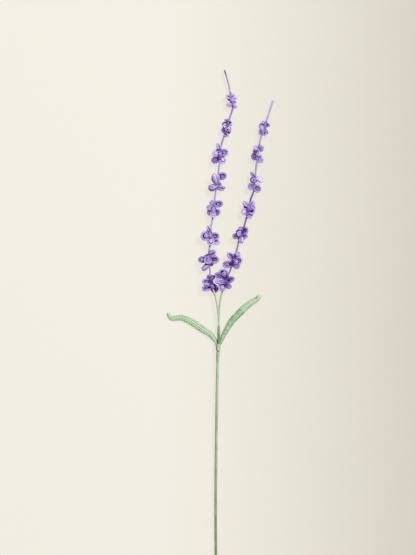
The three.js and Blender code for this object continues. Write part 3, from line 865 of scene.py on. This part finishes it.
# Wide petals that are neither closed nor deep have one strand coiled on their face
COILED_WIDTH = 4.4
COILED_HOLLOW = (0.15, 0.75)
COIL_TURNS = 1.6
COIL_SHARES = (0.1, 0.54)
COIL_POINTS = 40
COIL_THICKNESS = 1.05
COIL_TONES = (-0.2, 0.5)
# How far a coil's middle lies from the tip, in half heights, and how tall it may be for its width
COIL_MIDDLE = 0.88
COIL_TALLEST = 1.5


def add_petal(work, root, tip, width, opens, hollow, tone, heart):
    """One crocheted petal: thick strands drawn together at its root and at its tip, and a chain of
    stitches round its edge. A closed one swells out on both sides, and a hollow one is a cup. opens is
    "down" for a petal under the flower. heart is how much painted shade darkens it at its root."""
    axis = unit(tip - root)
    under = opens == "down"
    facing = np.array([0.0, 0.0, -1.0]) if under else np.array([opens[0], opens[1], 1.0])
    facing = unit(facing - dot(facing, axis) * axis)
    sideways = np.cross(axis, facing)
    half = max(width / 2 - RIM_INSET, 0.6)
    reach = max(np.linalg.norm(tip - root) - TIP_INSET, 1.5)
    yarn = FLOWER_YARN * min(1, 0.55 + 0.1 * width)

    def place(across, along, raised):
        return root + sideways * across[..., None] + axis * along[..., None] + facing * raised[..., None]

    def spot(turn, share=1.0, swell=0.0):
        """A point of the petal: turn goes from the root (0) to the tip (half a turn) and round its edge,
        share out from its middle line, and swell is how far its middle stands out from its edge."""
        out = (1 - np.cos(turn)) / 2
        x = np.sin(turn) * (ROOT_WIDTH + WIDTH_GAIN * out) * half * share
        side_curl = (SIDE_CURL[0] + SIDE_CURL[1] * hollow) * width * (x / half) ** 2
        rim = side_curl + TIP_CURL * hollow * width * out**2
        dome = swell * width * np.abs(np.sin(turn)) ** 0.7 * (1 - 0.55 * share**2)
        return place(x, out * reach, rim + dome)

    def shades(out):
        """The painted shade at its root and its tone, deepened towards the root as painted shade, out from
        its root (0) to its tip (1).
        """
        dark = heart * np.clip(1 - ROOT_FADE * out, 0, 1)
        return dark, tone - (ROOT_DEPTH + ROOT_DEPTH * heart) * (1 - out)

    edge = evenly(spot(np.radians(np.linspace(*RIM_TURN, 60))), RIM_SPACING)
    outward = unit(np.cross(facing, unit(np.gradient(edge, axis=0))))
    # The chain round the edge takes painted shade towards the root
    dark, dye = shades(dot(edge - root, axis)[:, 0] / reach)
    add_plait(work, edge, outward, facing[None], yarn, PETAL_STITCH, hollow=dark, tone=dye)

    turns = np.linspace(*STRAND_ENDS, STRAND_POINTS) * math.pi
    slant = rng.choice([-STRAND_SLANT, STRAND_SLANT]) * np.cos(turns)
    slant = slant + STRAND_SWAY * np.sin(2 * turns + rng.uniform(0, 6))
    dark, dye = shades((1 - np.cos(turns)) / 2)
    face = (FACE_SWELL, FACE_SPREAD - FACE_GATHER * hollow, FACE_PITCH, 0)
    # The back's strands are darkened with painted shade, seen between the strands of the face
    back = (BACK_SWELL, BACK_SPREAD, BACK_PITCH, 0 if under else BACK_PAINTED_SHADE)
    covered = [face, back]
    if width >= COILED_WIDTH and COILED_HOLLOW[0] <= hollow <= COILED_HOLLOW[1]:
        covered = [back]
        turn = np.linspace(0, COIL_TURNS * 2 * math.pi, COIL_POINTS) + rng.uniform(0, 6)
        share = np.linspace(*COIL_SHARES, COIL_POINTS)
        along = reach - min(reach / 2, COIL_TALLEST * half) * (COIL_MIDDLE + np.cos(turn) * share)
        raised = between(FACE_SWELL, hollow) * width * (1 - 0.5 * share**2)
        coil = place(np.sin(turn) * half * share, along, raised)
        # The coil takes painted shade towards the root as well
        coil_dark, coil_tone_and_shade = shades(along / reach)
        coil_tone_and_shade = coil_tone_and_shade + rng.uniform(*COIL_TONES)
        work.add_strands(coil[None], yarn * COIL_THICKNESS, hollow=coil_dark, tone=coil_tone_and_shade)
    for swells, spread, pitches, behind in covered:
        count = int(round(2 * spread * half / between(pitches, hollow))) + 1
        count = max(3 if hollow < CLOSED else 2, count)
        shares = np.linspace(-spread, spread, count) + rng.uniform(*STRAND_PLACES, count)
        lines = np.stack([spot(turns, share + slant, between(swells, hollow)) for share in shares])
        tapered = yarn * STRAND_THICKNESS * (0.6 + 0.4 * np.sin(turns))[None]
        thickness = tapered * rng.uniform(*STRAND_UNEVEN, (count, 1))
        strand_tones = dye + rng.uniform(*STRAND_TONES, (count, 1))
        work.add_strands(lines, thickness, hollow=np.maximum(dark, behind), tone=strand_tones)


# The strip round the spike inside a flower: half its length, how long one of its turns is, how far it
# stands out at its ends and more at its middle, and how long its light and dark patches are
HEART_REACH = 4.2
HEART_TURN = 2.3
HEART_SWELL = (0.45, 0.35)
HEART_PATCH = 3.4


def add_heart(work, route, distance, tone):
    """The crocheted strip wound round the spike inside a flower."""
    reach = np.linspace(-HEART_REACH, HEART_REACH, 90)
    centre = route.places(distance + reach)
    side, other = across_and_up(route.headings(distance + reach))
    swell = SPIKE_RADIUS + HEART_SWELL[0] + HEART_SWELL[1] * np.cos(reach * math.pi / 9.5)[:, None]
    lines = []
    for strand in range(2):
        turn = (reach * 2 * math.pi / HEART_TURN + strand * math.pi)[:, None]
        lines.append(centre + swell * (side * np.cos(turn) + other * np.sin(turn)))
    patchy = np.cos(reach * 2 * math.pi / HEART_PATCH + rng.uniform(0, 6)) * [[1], [-0.6]]
    # Painted shade: the heart darkens where its tone is deep, less in its lighter patches
    dark = np.clip(-0.35 * tone * (1 - patchy), 0, 1)
    work.add_strands(np.stack(lines), FLOWER_YARN * 1.1, hollow=dark, tone=tone + 0.6 * patchy)


def make_flowers(side, route, flowers, heart_painted_shades):
    """All flowers of a spike. The hearts' tones are (height, tone) and paint shade into the middle of each
    flower, and petals take painted shade at their roots where the hearts are deep."""
    for number, (height, petals) in enumerate(flowers.items(), 1):
        work = YarnWork()
        middle = route.places(route.distance_at(height))
        heart_painted_shade = np.interp(height, *np.array(heart_painted_shades).T)
        # How much painted shade the petals take at their roots, from the heart's deep tone
        heart = max(0, -0.5 * heart_painted_shade)
        add_heart(work, route, route.distance_at(height), heart_painted_shade)
        for petal in petals:
            root = route.places(route.distance_at(height + petal.slide))
            tip = middle + [petal.across, petal.along, petal.lift]
            add_petal(work, root, tip, petal.width, petal.opens, petal.hollow, petal.tone, heart)
        for slide, across, along, width in UNDER_PETALS:
            root = route.places(route.distance_at(height + slide))
            tip = np.array([middle[0] + across, middle[1] + along, -UNDER_PRESS])
            add_petal(work, root, tip, width, "down", 0.4, -0.2, heart)
        work.lift_clear()
        node = f"{side}_flower_{number}"
        work.make(f"{node}_stitches", FLOWER_COTTON, [node], "flower_yarn")


# Leaves

# How far in from a leaf's outline the middle of its edge lies, and the least half width that leaves
EDGE_INSET = 0.55
LEAST_HALF = 0.45
# How far the edges sag below the middle, for the square of how far out they are
LEAF_SAG = 0.06
# How high the chain up the middle stands
RIDGE_LIFT = 0.35
# Legs of yarn from the middle to an edge: where they begin and end across the leaf, how far they reach
# along it, and how far apart they are in a stitch
LEG_ROOT = 0.02
RIDGE_LEG_ROOT = 0.55
LEG_END = 0.94
LEG_REACH = 1.2
LEG_SPACING = 0.6
# The part of a leaf before its blade that is crocheted too, and the tip that is too narrow for legs
BLADE_ROOT = 1.5
ROLLED_TIP = 6.0
# The strands along a leaf on its open and its closed sides: how far across, how high, and their tone;
# the deep tone of the second strand on the closed side is painted shade in a groove
COVERED_OPEN = ((0.34, 0.3, 0), (0.5, 0.2, 0))
COVERED_CLOSED = ((0.28, 0.38, 0.1), (0.54, 0.24, -0.8), (0.78, 0.24, 0))
# Where the leaf without a ridge closes up, as a share of its length, and the strands across it there
CLOSED_FROM = 0.6
CLOSING_STRANDS = (-0.7, -0.15, 0.15, 0.7)
# The fold near its tip, shown by a dark strand of painted shade in its crease: where it begins and ends
# before the tip, and how far across and how high it lies
FOLD = (5.8, 2.6)
FOLD_PLACE = (-0.6, 0.72)
# The strand up its middle: how far across and how high it lies
MIDDLE_PLACE = (0.05, 0.42)
# How thick a leaf's chains, strands and legs are, for the thickness of the yarn, how far a chain's
# strands sway at the edge and on the ridge, and how uneven the dye of the strands and of the legs is
RIDGE_THICKNESS = 1.15
MIDDLE_THICKNESS = 1.25
COVER_THICKNESS = 1.2
LEG_THICKNESS = 0.95
EDGE_SWAY = 0.9
RIDGE_SWAY = 0.7
COVER_TONES = (-0.1, 0.2)
LEG_TONES = (-0.6, 0.4)


class LeafWork(YarnWork):
    """Yarn crocheted over a leaf's wire. tones are (distance from the collar, tone), darker near the
    collar as painted shade, and the side tones, added on its left (-1) and its right (1) side, are painted
    light and shade."""

    def __init__(self, route, widths, tones, painted_side_shading):
        super().__init__()
        self.route = route
        self.start, self.end = BLADE_BASE - BLADE_ROOT, route.length
        self.widths, self.tones = np.array(widths).T, np.array(tones, float).T
        self.painted_side_shading = {-1: painted_side_shading[0], 1: painted_side_shading[1]}
        self.stitches = np.arange(self.start + 0.5, self.end - ROLLED_TIP, LEAF_STITCH)
        self.leg_steps = np.linspace(0, 1, 7)

    def tone_at(self, distance):
        return np.interp(distance, *self.tones)

    def spot(self, distance, across, lift):
        """A point of the leaf: across goes from -1 to 1 between its edges."""
        given = (np.asarray(value, float) for value in (distance, across, lift))
        distance, across, lift = np.broadcast_arrays(*given)
        share = np.clip((distance - BLADE_BASE) / (self.end - BLADE_BASE), 0, 1)
        x = across * np.maximum(np.interp(share, *self.widths) - EDGE_INSET, LEAST_HALF)
        heading = unit(self.route.headings(distance) * [1, 1, 0])
        sideways = np.stack([heading[..., 1], -heading[..., 0], 0 * x], -1)
        raised = np.array([0, 0, 1.0]) * (lift - LEAF_SAG * x**2)[..., None]
        return self.route.places(distance) + sideways * x[..., None] + raised

    def add_chain(self, across, lift, yarn, spread, added_tone):
        """A chain of stitches along the whole leaf."""
        distance = np.arange(self.start, self.end - 0.3, 0.4)
        line = self.spot(distance, across, lift)
        sideways, upward = across_and_up(unit(np.gradient(line, axis=0)))
        dye = self.tone_at(distance) + added_tone
        add_plait(self, line, sideways, upward, yarn, LEAF_STITCH, spread, tone=dye)

    def close_up(self):
        """A dark strand in the fold near the tip, as painted shade in its crease; a strand up the middle
        with painted shade at every other stitch, where its holes are, which fades out towards the tip; and
        the strands that close the outer part."""
        fold = self.spot(np.linspace(self.end - FOLD[0], self.end - FOLD[1], 8), *FOLD_PLACE)
        # Painted shade: a dark strand laid in the crease of the fold
        self.add_strands(fold[None], 0.32, hollow=0.9, tone=-1)
        distance = np.arange(self.start, self.end - 0.8, 0.5)
        # Painted shade at every other stitch of the middle strand, where the holes are
        painted_hole_shade = np.clip(1.5 * np.cos(distance * math.pi / LEAF_STITCH), 0, 1)
        painted_hole_shade = painted_hole_shade * np.clip(2.4 - 3 * distance / self.end, 0, 1)
        middle = self.spot(distance, *MIDDLE_PLACE)
        dye = self.tone_at(distance) + 0.3
        self.add_strands(middle[None], LEAF_YARN * MIDDLE_THICKNESS, hollow=0.6 * painted_hole_shade, tone=dye)
        distance = np.arange(CLOSED_FROM * self.end, self.end - 0.8, 0.5)
        closing = np.stack([self.spot(distance, across, 0.4) for across in CLOSING_STRANDS])
        tapered = LEAF_YARN * COVER_THICKNESS * np.clip((distance - distance[0]) / 3, 0.3, 1)
        uneven = rng.uniform(*COVER_TONES, (len(closing), 1))
        self.add_strands(closing, tapered, tone=self.tone_at(distance) + uneven)

    def add_cover(self, edge, strands):
        """The strands along one side of the leaf."""
        distance = np.arange(self.start, self.end - 0.5, 0.5)
        lines = np.stack([self.spot(distance, edge * across, lift) for across, lift, _ in strands])
        uneven = rng.uniform(*COVER_TONES, (len(lines), 1)) + [[dye] for _, _, dye in strands]
        # Painted light and shade on this side of the leaf
        uneven = uneven + self.painted_side_shading[edge]
        self.add_strands(lines, LEAF_YARN * COVER_THICKNESS, tone=self.tone_at(distance) + uneven)

    def add_legs(self, edge, leg_root):
        """The legs of yarn over one side of the leaf, two to a stitch."""
        steps = self.leg_steps
        across = edge * (leg_root + (LEG_END - leg_root) * steps)
        lift = 0.38 - 0.1 * steps + 0.12 * np.sin(math.pi * steps)
        for stitch in self.stitches + (0.5 * LEAF_STITCH if edge > 0 else 0):
            stitch = stitch + rng.uniform(-0.4, 0.4)
            # Painted light and shade on this side of the leaf, on the legs too
            leg_tone = self.tone_at(stitch) + rng.uniform(*LEG_TONES) + self.painted_side_shading[edge]
            for leg in (0, LEG_SPACING):
                along = stitch + leg + steps * LEG_REACH * rng.uniform(0.5, 1.3)
                line = self.spot(along, across, lift)
                self.add_strands(line[None], LEAF_YARN * LEG_THICKNESS, tone=leg_tone, sides=7)

    def add_underside(self):
        """The legs of yarn under the leaf, and the flat band of yarn inside it, darkened with painted
        shade that shows between the stitches.
        """
        steps = self.leg_steps
        for stitch in self.stitches:
            for edge in (-1, 1):
                for leg in (0, LEG_SPACING, 2 * LEG_SPACING):
                    along = stitch + leg + steps * LEG_REACH
                    line = self.spot(along, edge * (0.08 + 0.86 * steps), -0.35)
                    self.add_strands(line[None], LEAF_YARN * 0.9, tone=0.1, sides=7)
        distance = np.linspace(self.start + 0.5, self.end - 0.8, 60)
        angles = np.linspace(0, 2 * math.pi, 12, endpoint=False)
        rings = [self.spot(distance, 0.9 * math.cos(a), 0.12 * math.sin(a)) for a in angles]
        rings = np.stack(rings, 1)[:, ::-1]
        # Painted shade: the band inside is darkened so the gaps between stitches look shaded
        self.add_skin(rings, distance[:, None], np.linspace(0, 1, 13)[None], 0.5, -0.5)


def make_leaf(side, route, widths, ridge, open_sides, tones, painted_side_shading):
    """A crocheted leaf: chained edges, and legs of yarn between them and the middle. On the open sides
    the legs show, and on the other strands cover the leaf. ridge says whether a chain runs up its
    middle; a leaf without one closes up towards its tip."""
    leaf = LeafWork(route, widths, tones, painted_side_shading)
    # The edge chains take their side's painted light and shade, and the ridge's chain a painted highlight
    for edge in (-1, 1):
        leaf.add_chain(edge, 0, LEAF_YARN, EDGE_SWAY, leaf.painted_side_shading[edge])
    if ridge:
        leaf.add_chain(0.05, RIDGE_LIFT, LEAF_YARN * RIDGE_THICKNESS, RIDGE_SWAY, 0.2)
    else:
        leaf.close_up()
    for edge in (-1, 1):
        if edge in open_sides:
            leaf.add_cover(edge, COVERED_OPEN)
            leaf.add_legs(edge, RIDGE_LEG_ROOT if ridge else LEG_ROOT)
        else:
            leaf.add_cover(edge, COVERED_CLOSED)
    leaf.add_underside()
    leaf.lift_clear()
    leaf.make(f"{side}_leaf_stitches", LEAF_COTTON, [f"{side}_leaf"], "leaf_yarn")


# Wound lengths

# How uneven a winding is, how sharp its grooves are, and how wide a turn that is drawn in tight is
WOBBLE = 0.02
GROOVE_SHARPNESS = 1.4
BAND_WIDTH = 0.55


def even(radius):
    """The same half width and half depth at every height."""
    def shape(height):
        return np.full_like(height, radius), np.full_like(height, radius)

    return shape


def through_levels(levels):
    """Half widths and half depths that change from level to level."""
    heights, widths, depths = np.array(levels).T

    def shape(height):
        return np.interp(height, heights, widths), np.interp(height, heights, depths)

    return shape


def make_winding(
    name, node, slot, material, route, low, high, shape, turn, groove, sides, tones,
    bands=(), rings_per_turn=6,
):
    """Yarn wound round and round a route between two heights. shape gives the half width and half depth
    at each height, turn is the pitch, groove is how deep the winding dips between its turns, tones are
    (height, tone), and bands are (height, depth) where the winding is drawn in tight. Painted shade
    darkens the valleys between its turns and the bands."""
    start, end = route.distance_at(low), route.distance_at(high)
    distance = np.linspace(start, end, int((end - start) / turn * rings_per_turn) + 2)
    places = route.places(distance)
    height = np.interp(distance, route.reach, route.points[:, 1])
    side, other = across_and_up(route.headings(distance))
    half_width, half_depth = shape(height)
    wobble = 1 + WOBBLE * np.sin(distance * 0.9 + 1.3 * np.sin(distance * 0.23))
    angle = np.arange(sides + 1) * 2 * math.pi / sides
    turns = (distance / turn)[:, None] - angle[None] / (2 * math.pi)
    valley = 1 - np.abs(np.sin(math.pi * turns))
    drawn_in = 0 * height
    for at, depth in bands:
        drawn_in = drawn_in + depth * np.exp(-(((height - at) / BAND_WIDTH) ** 2))
    drawn_in = drawn_in[:, None]
    sink = groove * valley**GROOVE_SHARPNESS + drawn_in
    wide = (half_width * wobble)[:, None] - sink
    deep = (half_depth * wobble)[:, None] - sink
    rings = (
        places[:, None]
        + side[:, None] * (wide * np.cos(angle))[..., None]
        - other[:, None] * (deep * np.sin(angle))[..., None]
    )
    girth = 2 * math.pi * float(np.mean(half_width))
    whole_plies = max(1, round(girth / (PLY_LENGTH / 2))) * (PLY_LENGTH / 2)
    along = angle[None] / (2 * math.pi) * whole_plies + 0 * turns
    around = turns * 2 / 3
    # Painted shade in the valleys between turns and where the winding is drawn in tight
    hollow = np.clip(valley * 0.5 + drawn_in * 1.6, 0, 0.9)
    tone = np.interp(height, *np.array(tones, float).T)[:, None]
    work = YarnWork()
    # The columns are turned round so that the skin faces outwards, and its last column is the first one
    rings, hollow = rings[:, :-1][:, ::-1], hollow[:, :-1][:, ::-1]
    work.add_skin(rings, along[:, ::-1], around[:, ::-1], hollow, tone)
    work.add_beads(places[::4], float(np.mean(half_width)), end - start)
    work.make(name, material, [node], slot)


# The thread closes over a spike's wire, past its tip. The knob there is widest a little below its end.
TIP_COVER = 0.7
TIP_LEFT_OPEN = 0.02
KNOB_MIDDLE = 1.8
KNOB_REACH = 2.2


def make_spike(side, route, top, knob, thread_painted_shading):
    """A branch wound in green, and above it the spike wound in purple thread, closed over the wire's
    tip. knob is the radius to which it swells there."""
    make_winding(
        f"{side}_branch_winding", f"{side}_branch_wrap", "stem_yarn", STEM_COTTON,
        route, NECK_TOP + WINDING_GAP, THREAD_START - WINDING_GAP, even(BRANCH_RADIUS), THREAD_TURN,
        groove=0.1, sides=10, tones=((0, 0.5),),
    )

    def tip_shape(height):
        left = np.clip(top + TIP_COVER - height, 0, 4)
        swell = np.clip(1 - np.abs(left - KNOB_MIDDLE) / KNOB_REACH, 0, 1)
        swollen = SPIKE_RADIUS + (knob - SPIKE_RADIUS) * swell
        rounded = np.sqrt(np.clip(1 - np.clip(1 - left / swollen, 0, 1) ** 2, 0.02, 1))
        return swollen * rounded, swollen * rounded

    make_winding(
        f"{side}_spike_winding", f"{side}_spike_wrap", "spike_thread", SPIKE_COTTON,
        route, THREAD_START, top + TIP_COVER - TIP_LEFT_OPEN, tip_shape, THREAD_TURN,
        groove=0.09, sides=10, tones=thread_painted_shading,
    )


# The stem wire ends inside the winding, this far above its cut end. Its cut edge is a little rounded.
WIRE_LENGTH = 12
CUT_EDGE = ((0, 0.8), (0.06, 0.95), (0.14, 1.0))


def make_stem_wire(route):
    """The thick wire, cut off square."""
    cut, shares = np.array(CUT_EDGE).T
    distance = np.append(cut, np.linspace(0.3, route.distance_at(CUT_END + WIRE_LENGTH), 30))
    thick = STEM_WIRE_RADIUS * np.append(shares, np.ones(30))
    work = YarnWork()
    work.add_strands(route.places(distance)[None], thick[None], sides=20)
    work.make("stem_wire_round", ZINC, ["stem_wire"], "wire")


# The tone at each height, darker towards the stem's cut end; the turns drawn tight round the collar,
# darkened there with painted shade; and the neck, darker low down as painted shade
STEM_TONES = ((CUT_END, -0.7), (-130, -0.6), (-60, 0), (-20, 0.35), (COLLAR_TOP, 0.5))
COLLAR_BANDS = ((-5.5, 0.4), (-1.7, 0.15), (-10.2, 0.15))
NECK_PAINTED_SHADE = ((NECK_FOOT, -1), (8, -1), (NECK_TOP, -0.1))
# The same for the leaves, but at distances from the collar, darker near the collar as painted shade; for
# the flowers' hearts, painted shade in the middle of each flower; and for the thread, painted light and
# shade, darker just below the flowers
LEFT_LEAF_TONES = ((4, -0.2), (14, 0.1))
RIGHT_LEAF_TONES = ((5, -1), (12, -0.5), (30, -0.2), (52, 0.1))
LEFT_HEART_PAINTED_SHADE = ((52, -0.9), (72, -0.4), (115, -0.1), (185, -0.5), (208, -0.2))
RIGHT_HEART_PAINTED_SHADE = ((54, -1.2), (72, -1.4), (93, -1), (115, -0.5), (138, -0.3), (184, -0.2))
LEFT_THREAD_PAINTED_SHADING = ((60, 0.1), (150, 0.4), (174, -0.3), (194, 0.1), (201, -0.6), (215, 0.3), (232, -0.4))
RIGHT_THREAD_PAINTED_SHADING = ((60, -0.9), (85, -0.4), (107, -0.7), (130, -0.9), (150, 0), (180, 0.1), (195, 0.4))

stem = Route(STEM_ROUTE)
binding = Route(BINDING_ROUTE)
neck = Route(NECK_ROUTE)
# The thread goes a little past the spikes' own routes, over the ends of their wires
left_spike = Route(LEFT_SPIKE_ROUTE + [(5.2, 235, 4)])
right_spike = Route(RIGHT_SPIKE_ROUTE + [(47.5, 209.5, 4.2)])
left_leaf = Route(LEFT_LEAF_ROUTE)
right_leaf = Route(RIGHT_LEAF_ROUTE)

make_winding(
    "stem_winding", "stem_wrap", "stem_yarn", STEM_COTTON,
    stem, CUT_END + WIRE_SHOWS, COLLAR_FOOT + COLLAR_OVERLAP, even(STEM_RADIUS), STEM_TURN,
    groove=0.14, sides=16, tones=STEM_TONES,
)
make_stem_wire(stem)
make_winding(
    "collar_binding", "collar_wrap", "stem_yarn", STEM_COTTON,
    binding, COLLAR_FOOT, COLLAR_TOP, through_levels(COLLAR_LEVELS), STEM_TURN,
    groove=0.2, sides=28, tones=STEM_TONES, bands=COLLAR_BANDS, rings_per_turn=8,
)
make_winding(
    "neck_binding", "neck_wrap", "stem_yarn", STEM_COTTON,
    neck, NECK_FOOT, NECK_TOP, through_levels(NECK_LEVELS), STEM_TURN,
    groove=0.16, sides=24, tones=NECK_PAINTED_SHADE, rings_per_turn=8,
)
make_spike("left", left_spike, LEFT_TIP, knob=SPIKE_RADIUS, thread_painted_shading=LEFT_THREAD_PAINTED_SHADING)
make_spike("right", right_spike, RIGHT_TIP, knob=1.0, thread_painted_shading=RIGHT_THREAD_PAINTED_SHADING)
make_leaf(
    "left", left_leaf, LEFT_LEAF_WIDTHS, ridge=True, open_sides=(-1,),
    tones=LEFT_LEAF_TONES, painted_side_shading=(0.5, -0.4),
)
make_leaf(
    "right", right_leaf, RIGHT_LEAF_WIDTHS, ridge=False, open_sides=(-1, 1),
    tones=RIGHT_LEAF_TONES, painted_side_shading=(-0.4, -0.3),
)
make_flowers("left", left_spike, LEFT_FLOWERS, LEFT_HEART_PAINTED_SHADE)
make_flowers("right", right_spike, RIGHT_FLOWERS, RIGHT_HEART_PAINTED_SHADE)
for work in YarnWork.gathered:
    work.make_piece()

for node in ("left_spike_wire", "right_spike_wire", "left_leaf_wire", "right_leaf_wire"):
    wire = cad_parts[node]
    wire.data.materials.clear()
    wire.data.materials.append(ZINC)


# Floor, light and camera

# The size of a pixel of the photo at the height of the spikes, the photo's size, and where it shows the
# origin
PIXEL = 0.85
SPIKE_HEIGHT = 5
PHOTO_WIDTH, PHOTO_HEIGHT = 416, 555
ORIGIN_PIXEL = (218, 345)

view_centre = ORIGIN + [
    (PHOTO_WIDTH / 2 - ORIGIN_PIXEL[0]) * PIXEL,
    (ORIGIN_PIXEL[1] - PHOTO_HEIGHT / 2) * PIXEL,
    SPIKE_HEIGHT,
]

# The floor is mostly its own glow, as a table lit from below is, so that shadows on it stay faint, and
# little of the glow reaches the spray. Its colour darkens to the right between two places across it, in
# metres, as painted shade.
FLOOR_LIGHT = srgb(240, 236, 225)
FLOOR_PAINTED_SHADE = srgb(212, 207, 192)
FLOOR_FADE = (-0.055, 0.172)
FLOOR_FADE_CURVE = 1.3
FLOOR_LIT_SHARE = 0.08
FLOOR_BOUNCE = 0.55
FLOOR_REACH = 6.0
# The room's colour, the light that it gives, and how light it looks
ROOM_COLOUR = (1.0, 0.985, 0.955, 1)
ROOM_LIGHT = 0.36
ROOM_LOOK = 0.78


def make_floor():
    mesh = bpy.data.meshes.new("floor")
    corners = [(x * FLOOR_REACH, y * FLOOR_REACH, 0) for x, y in ((-1, -1), (1, -1), (1, 1), (-1, 1))]
    mesh.from_pydata(corners, [], [(0, 1, 2, 3)])
    floor = bpy.data.objects.new("floor", mesh)
    bpy.context.scene.collection.objects.link(floor)
    material = bpy.data.materials.new("pale floor")
    material.use_nodes = True
    tree = material.node_tree
    shader = tree.nodes["Principled BSDF"]
    place = tree.nodes.new("ShaderNodeTexCoord")
    parts = tree.nodes.new("ShaderNodeSeparateXYZ")
    tree.links.new(place.outputs["Object"], parts.inputs[0])
    ramp = tree.nodes.new("ShaderNodeMapRange")
    tree.links.new(parts.outputs[0], ramp.inputs["Value"])
    ramp.inputs["From Min"].default_value = FLOOR_FADE[0]
    ramp.inputs["From Max"].default_value = FLOOR_FADE[1]
    share = calculate(tree, "POWER", ramp.outputs[0], FLOOR_FADE_CURVE)
    # Painted shade: the floor's colour darkens to the right
    shaded = mix_colours(tree, share, FLOOR_LIGHT, FLOOR_PAINTED_SHADE)
    lit = mix_colours(tree, 1.0, shaded, (FLOOR_LIT_SHARE,) * 3, "MULTIPLY")
    tree.links.new(lit, shader.inputs["Base Color"])
    tree.links.new(shaded, shader.inputs["Emission Color"])
    seen = tree.nodes.new("ShaderNodeLightPath").outputs["Is Camera Ray"]
    glow = calculate(tree, "MULTIPLY_ADD", seen, 1 - FLOOR_LIT_SHARE - FLOOR_BOUNCE, FLOOR_BOUNCE)
    tree.links.new(glow, shader.inputs["Emission Strength"])
    shader.inputs["Roughness"].default_value = 0.95
    shader.inputs["Specular IOR Level"].default_value = 0.1
    mesh.materials.append(material)


def add_softbox(name, azimuth, elevation, distance, size, watts):
    """A soft light: azimuth is counted from the photo's right towards its top."""
    a, e = math.radians(azimuth), math.radians(elevation)
    way = Vector((math.cos(a) * math.cos(e), math.sin(a) * math.cos(e), math.sin(e)))
    light = bpy.data.lights.new(name, "AREA")
    light.shape = "DISK"
    light.size = size
    light.energy = watts
    lamp = bpy.data.objects.new(name, light)
    lamp.location = Vector(view_centre * MM) + way * distance
    lamp.rotation_mode = "QUATERNION"
    lamp.rotation_quaternion = way.to_track_quat("Z", "Y")
    bpy.context.scene.collection.objects.link(lamp)


def make_world():
    """A pale room: its walls look as light as the floor, and give the spray less light than that."""
    world = bpy.data.worlds.new("soft room")
    world.use_nodes = True
    tree = world.node_tree
    background = tree.nodes["Background"]
    background.inputs["Color"].default_value = ROOM_COLOUR
    seen = tree.nodes.new("ShaderNodeLightPath").outputs["Is Camera Ray"]
    strength = calculate(tree, "MULTIPLY_ADD", seen, ROOM_LOOK - ROOM_LIGHT, ROOM_LIGHT)
    tree.links.new(strength, background.inputs["Strength"])
    bpy.context.scene.world = world


def make_camera():
    """Straight above the middle of the photo, as far up as its height needs."""
    lens, sensor = 100, 36
    distance = PHOTO_HEIGHT * PIXEL / 2 * lens / (sensor / 2)
    data = bpy.data.cameras.new("camera")
    data.lens = lens
    data.sensor_width = sensor
    data.clip_start = 0.05
    data.clip_end = 20
    camera = bpy.data.objects.new("camera", data)
    camera.location = Vector((view_centre + [0, 0, distance]) * MM)
    bpy.context.scene.collection.objects.link(camera)
    bpy.context.scene.camera = camera


make_floor()
make_world()
add_softbox("key softbox", azimuth=50, elevation=50, distance=2.0, size=0.7, watts=53)
make_camera()
bpy.context.scene.view_settings.view_transform = "Standard"
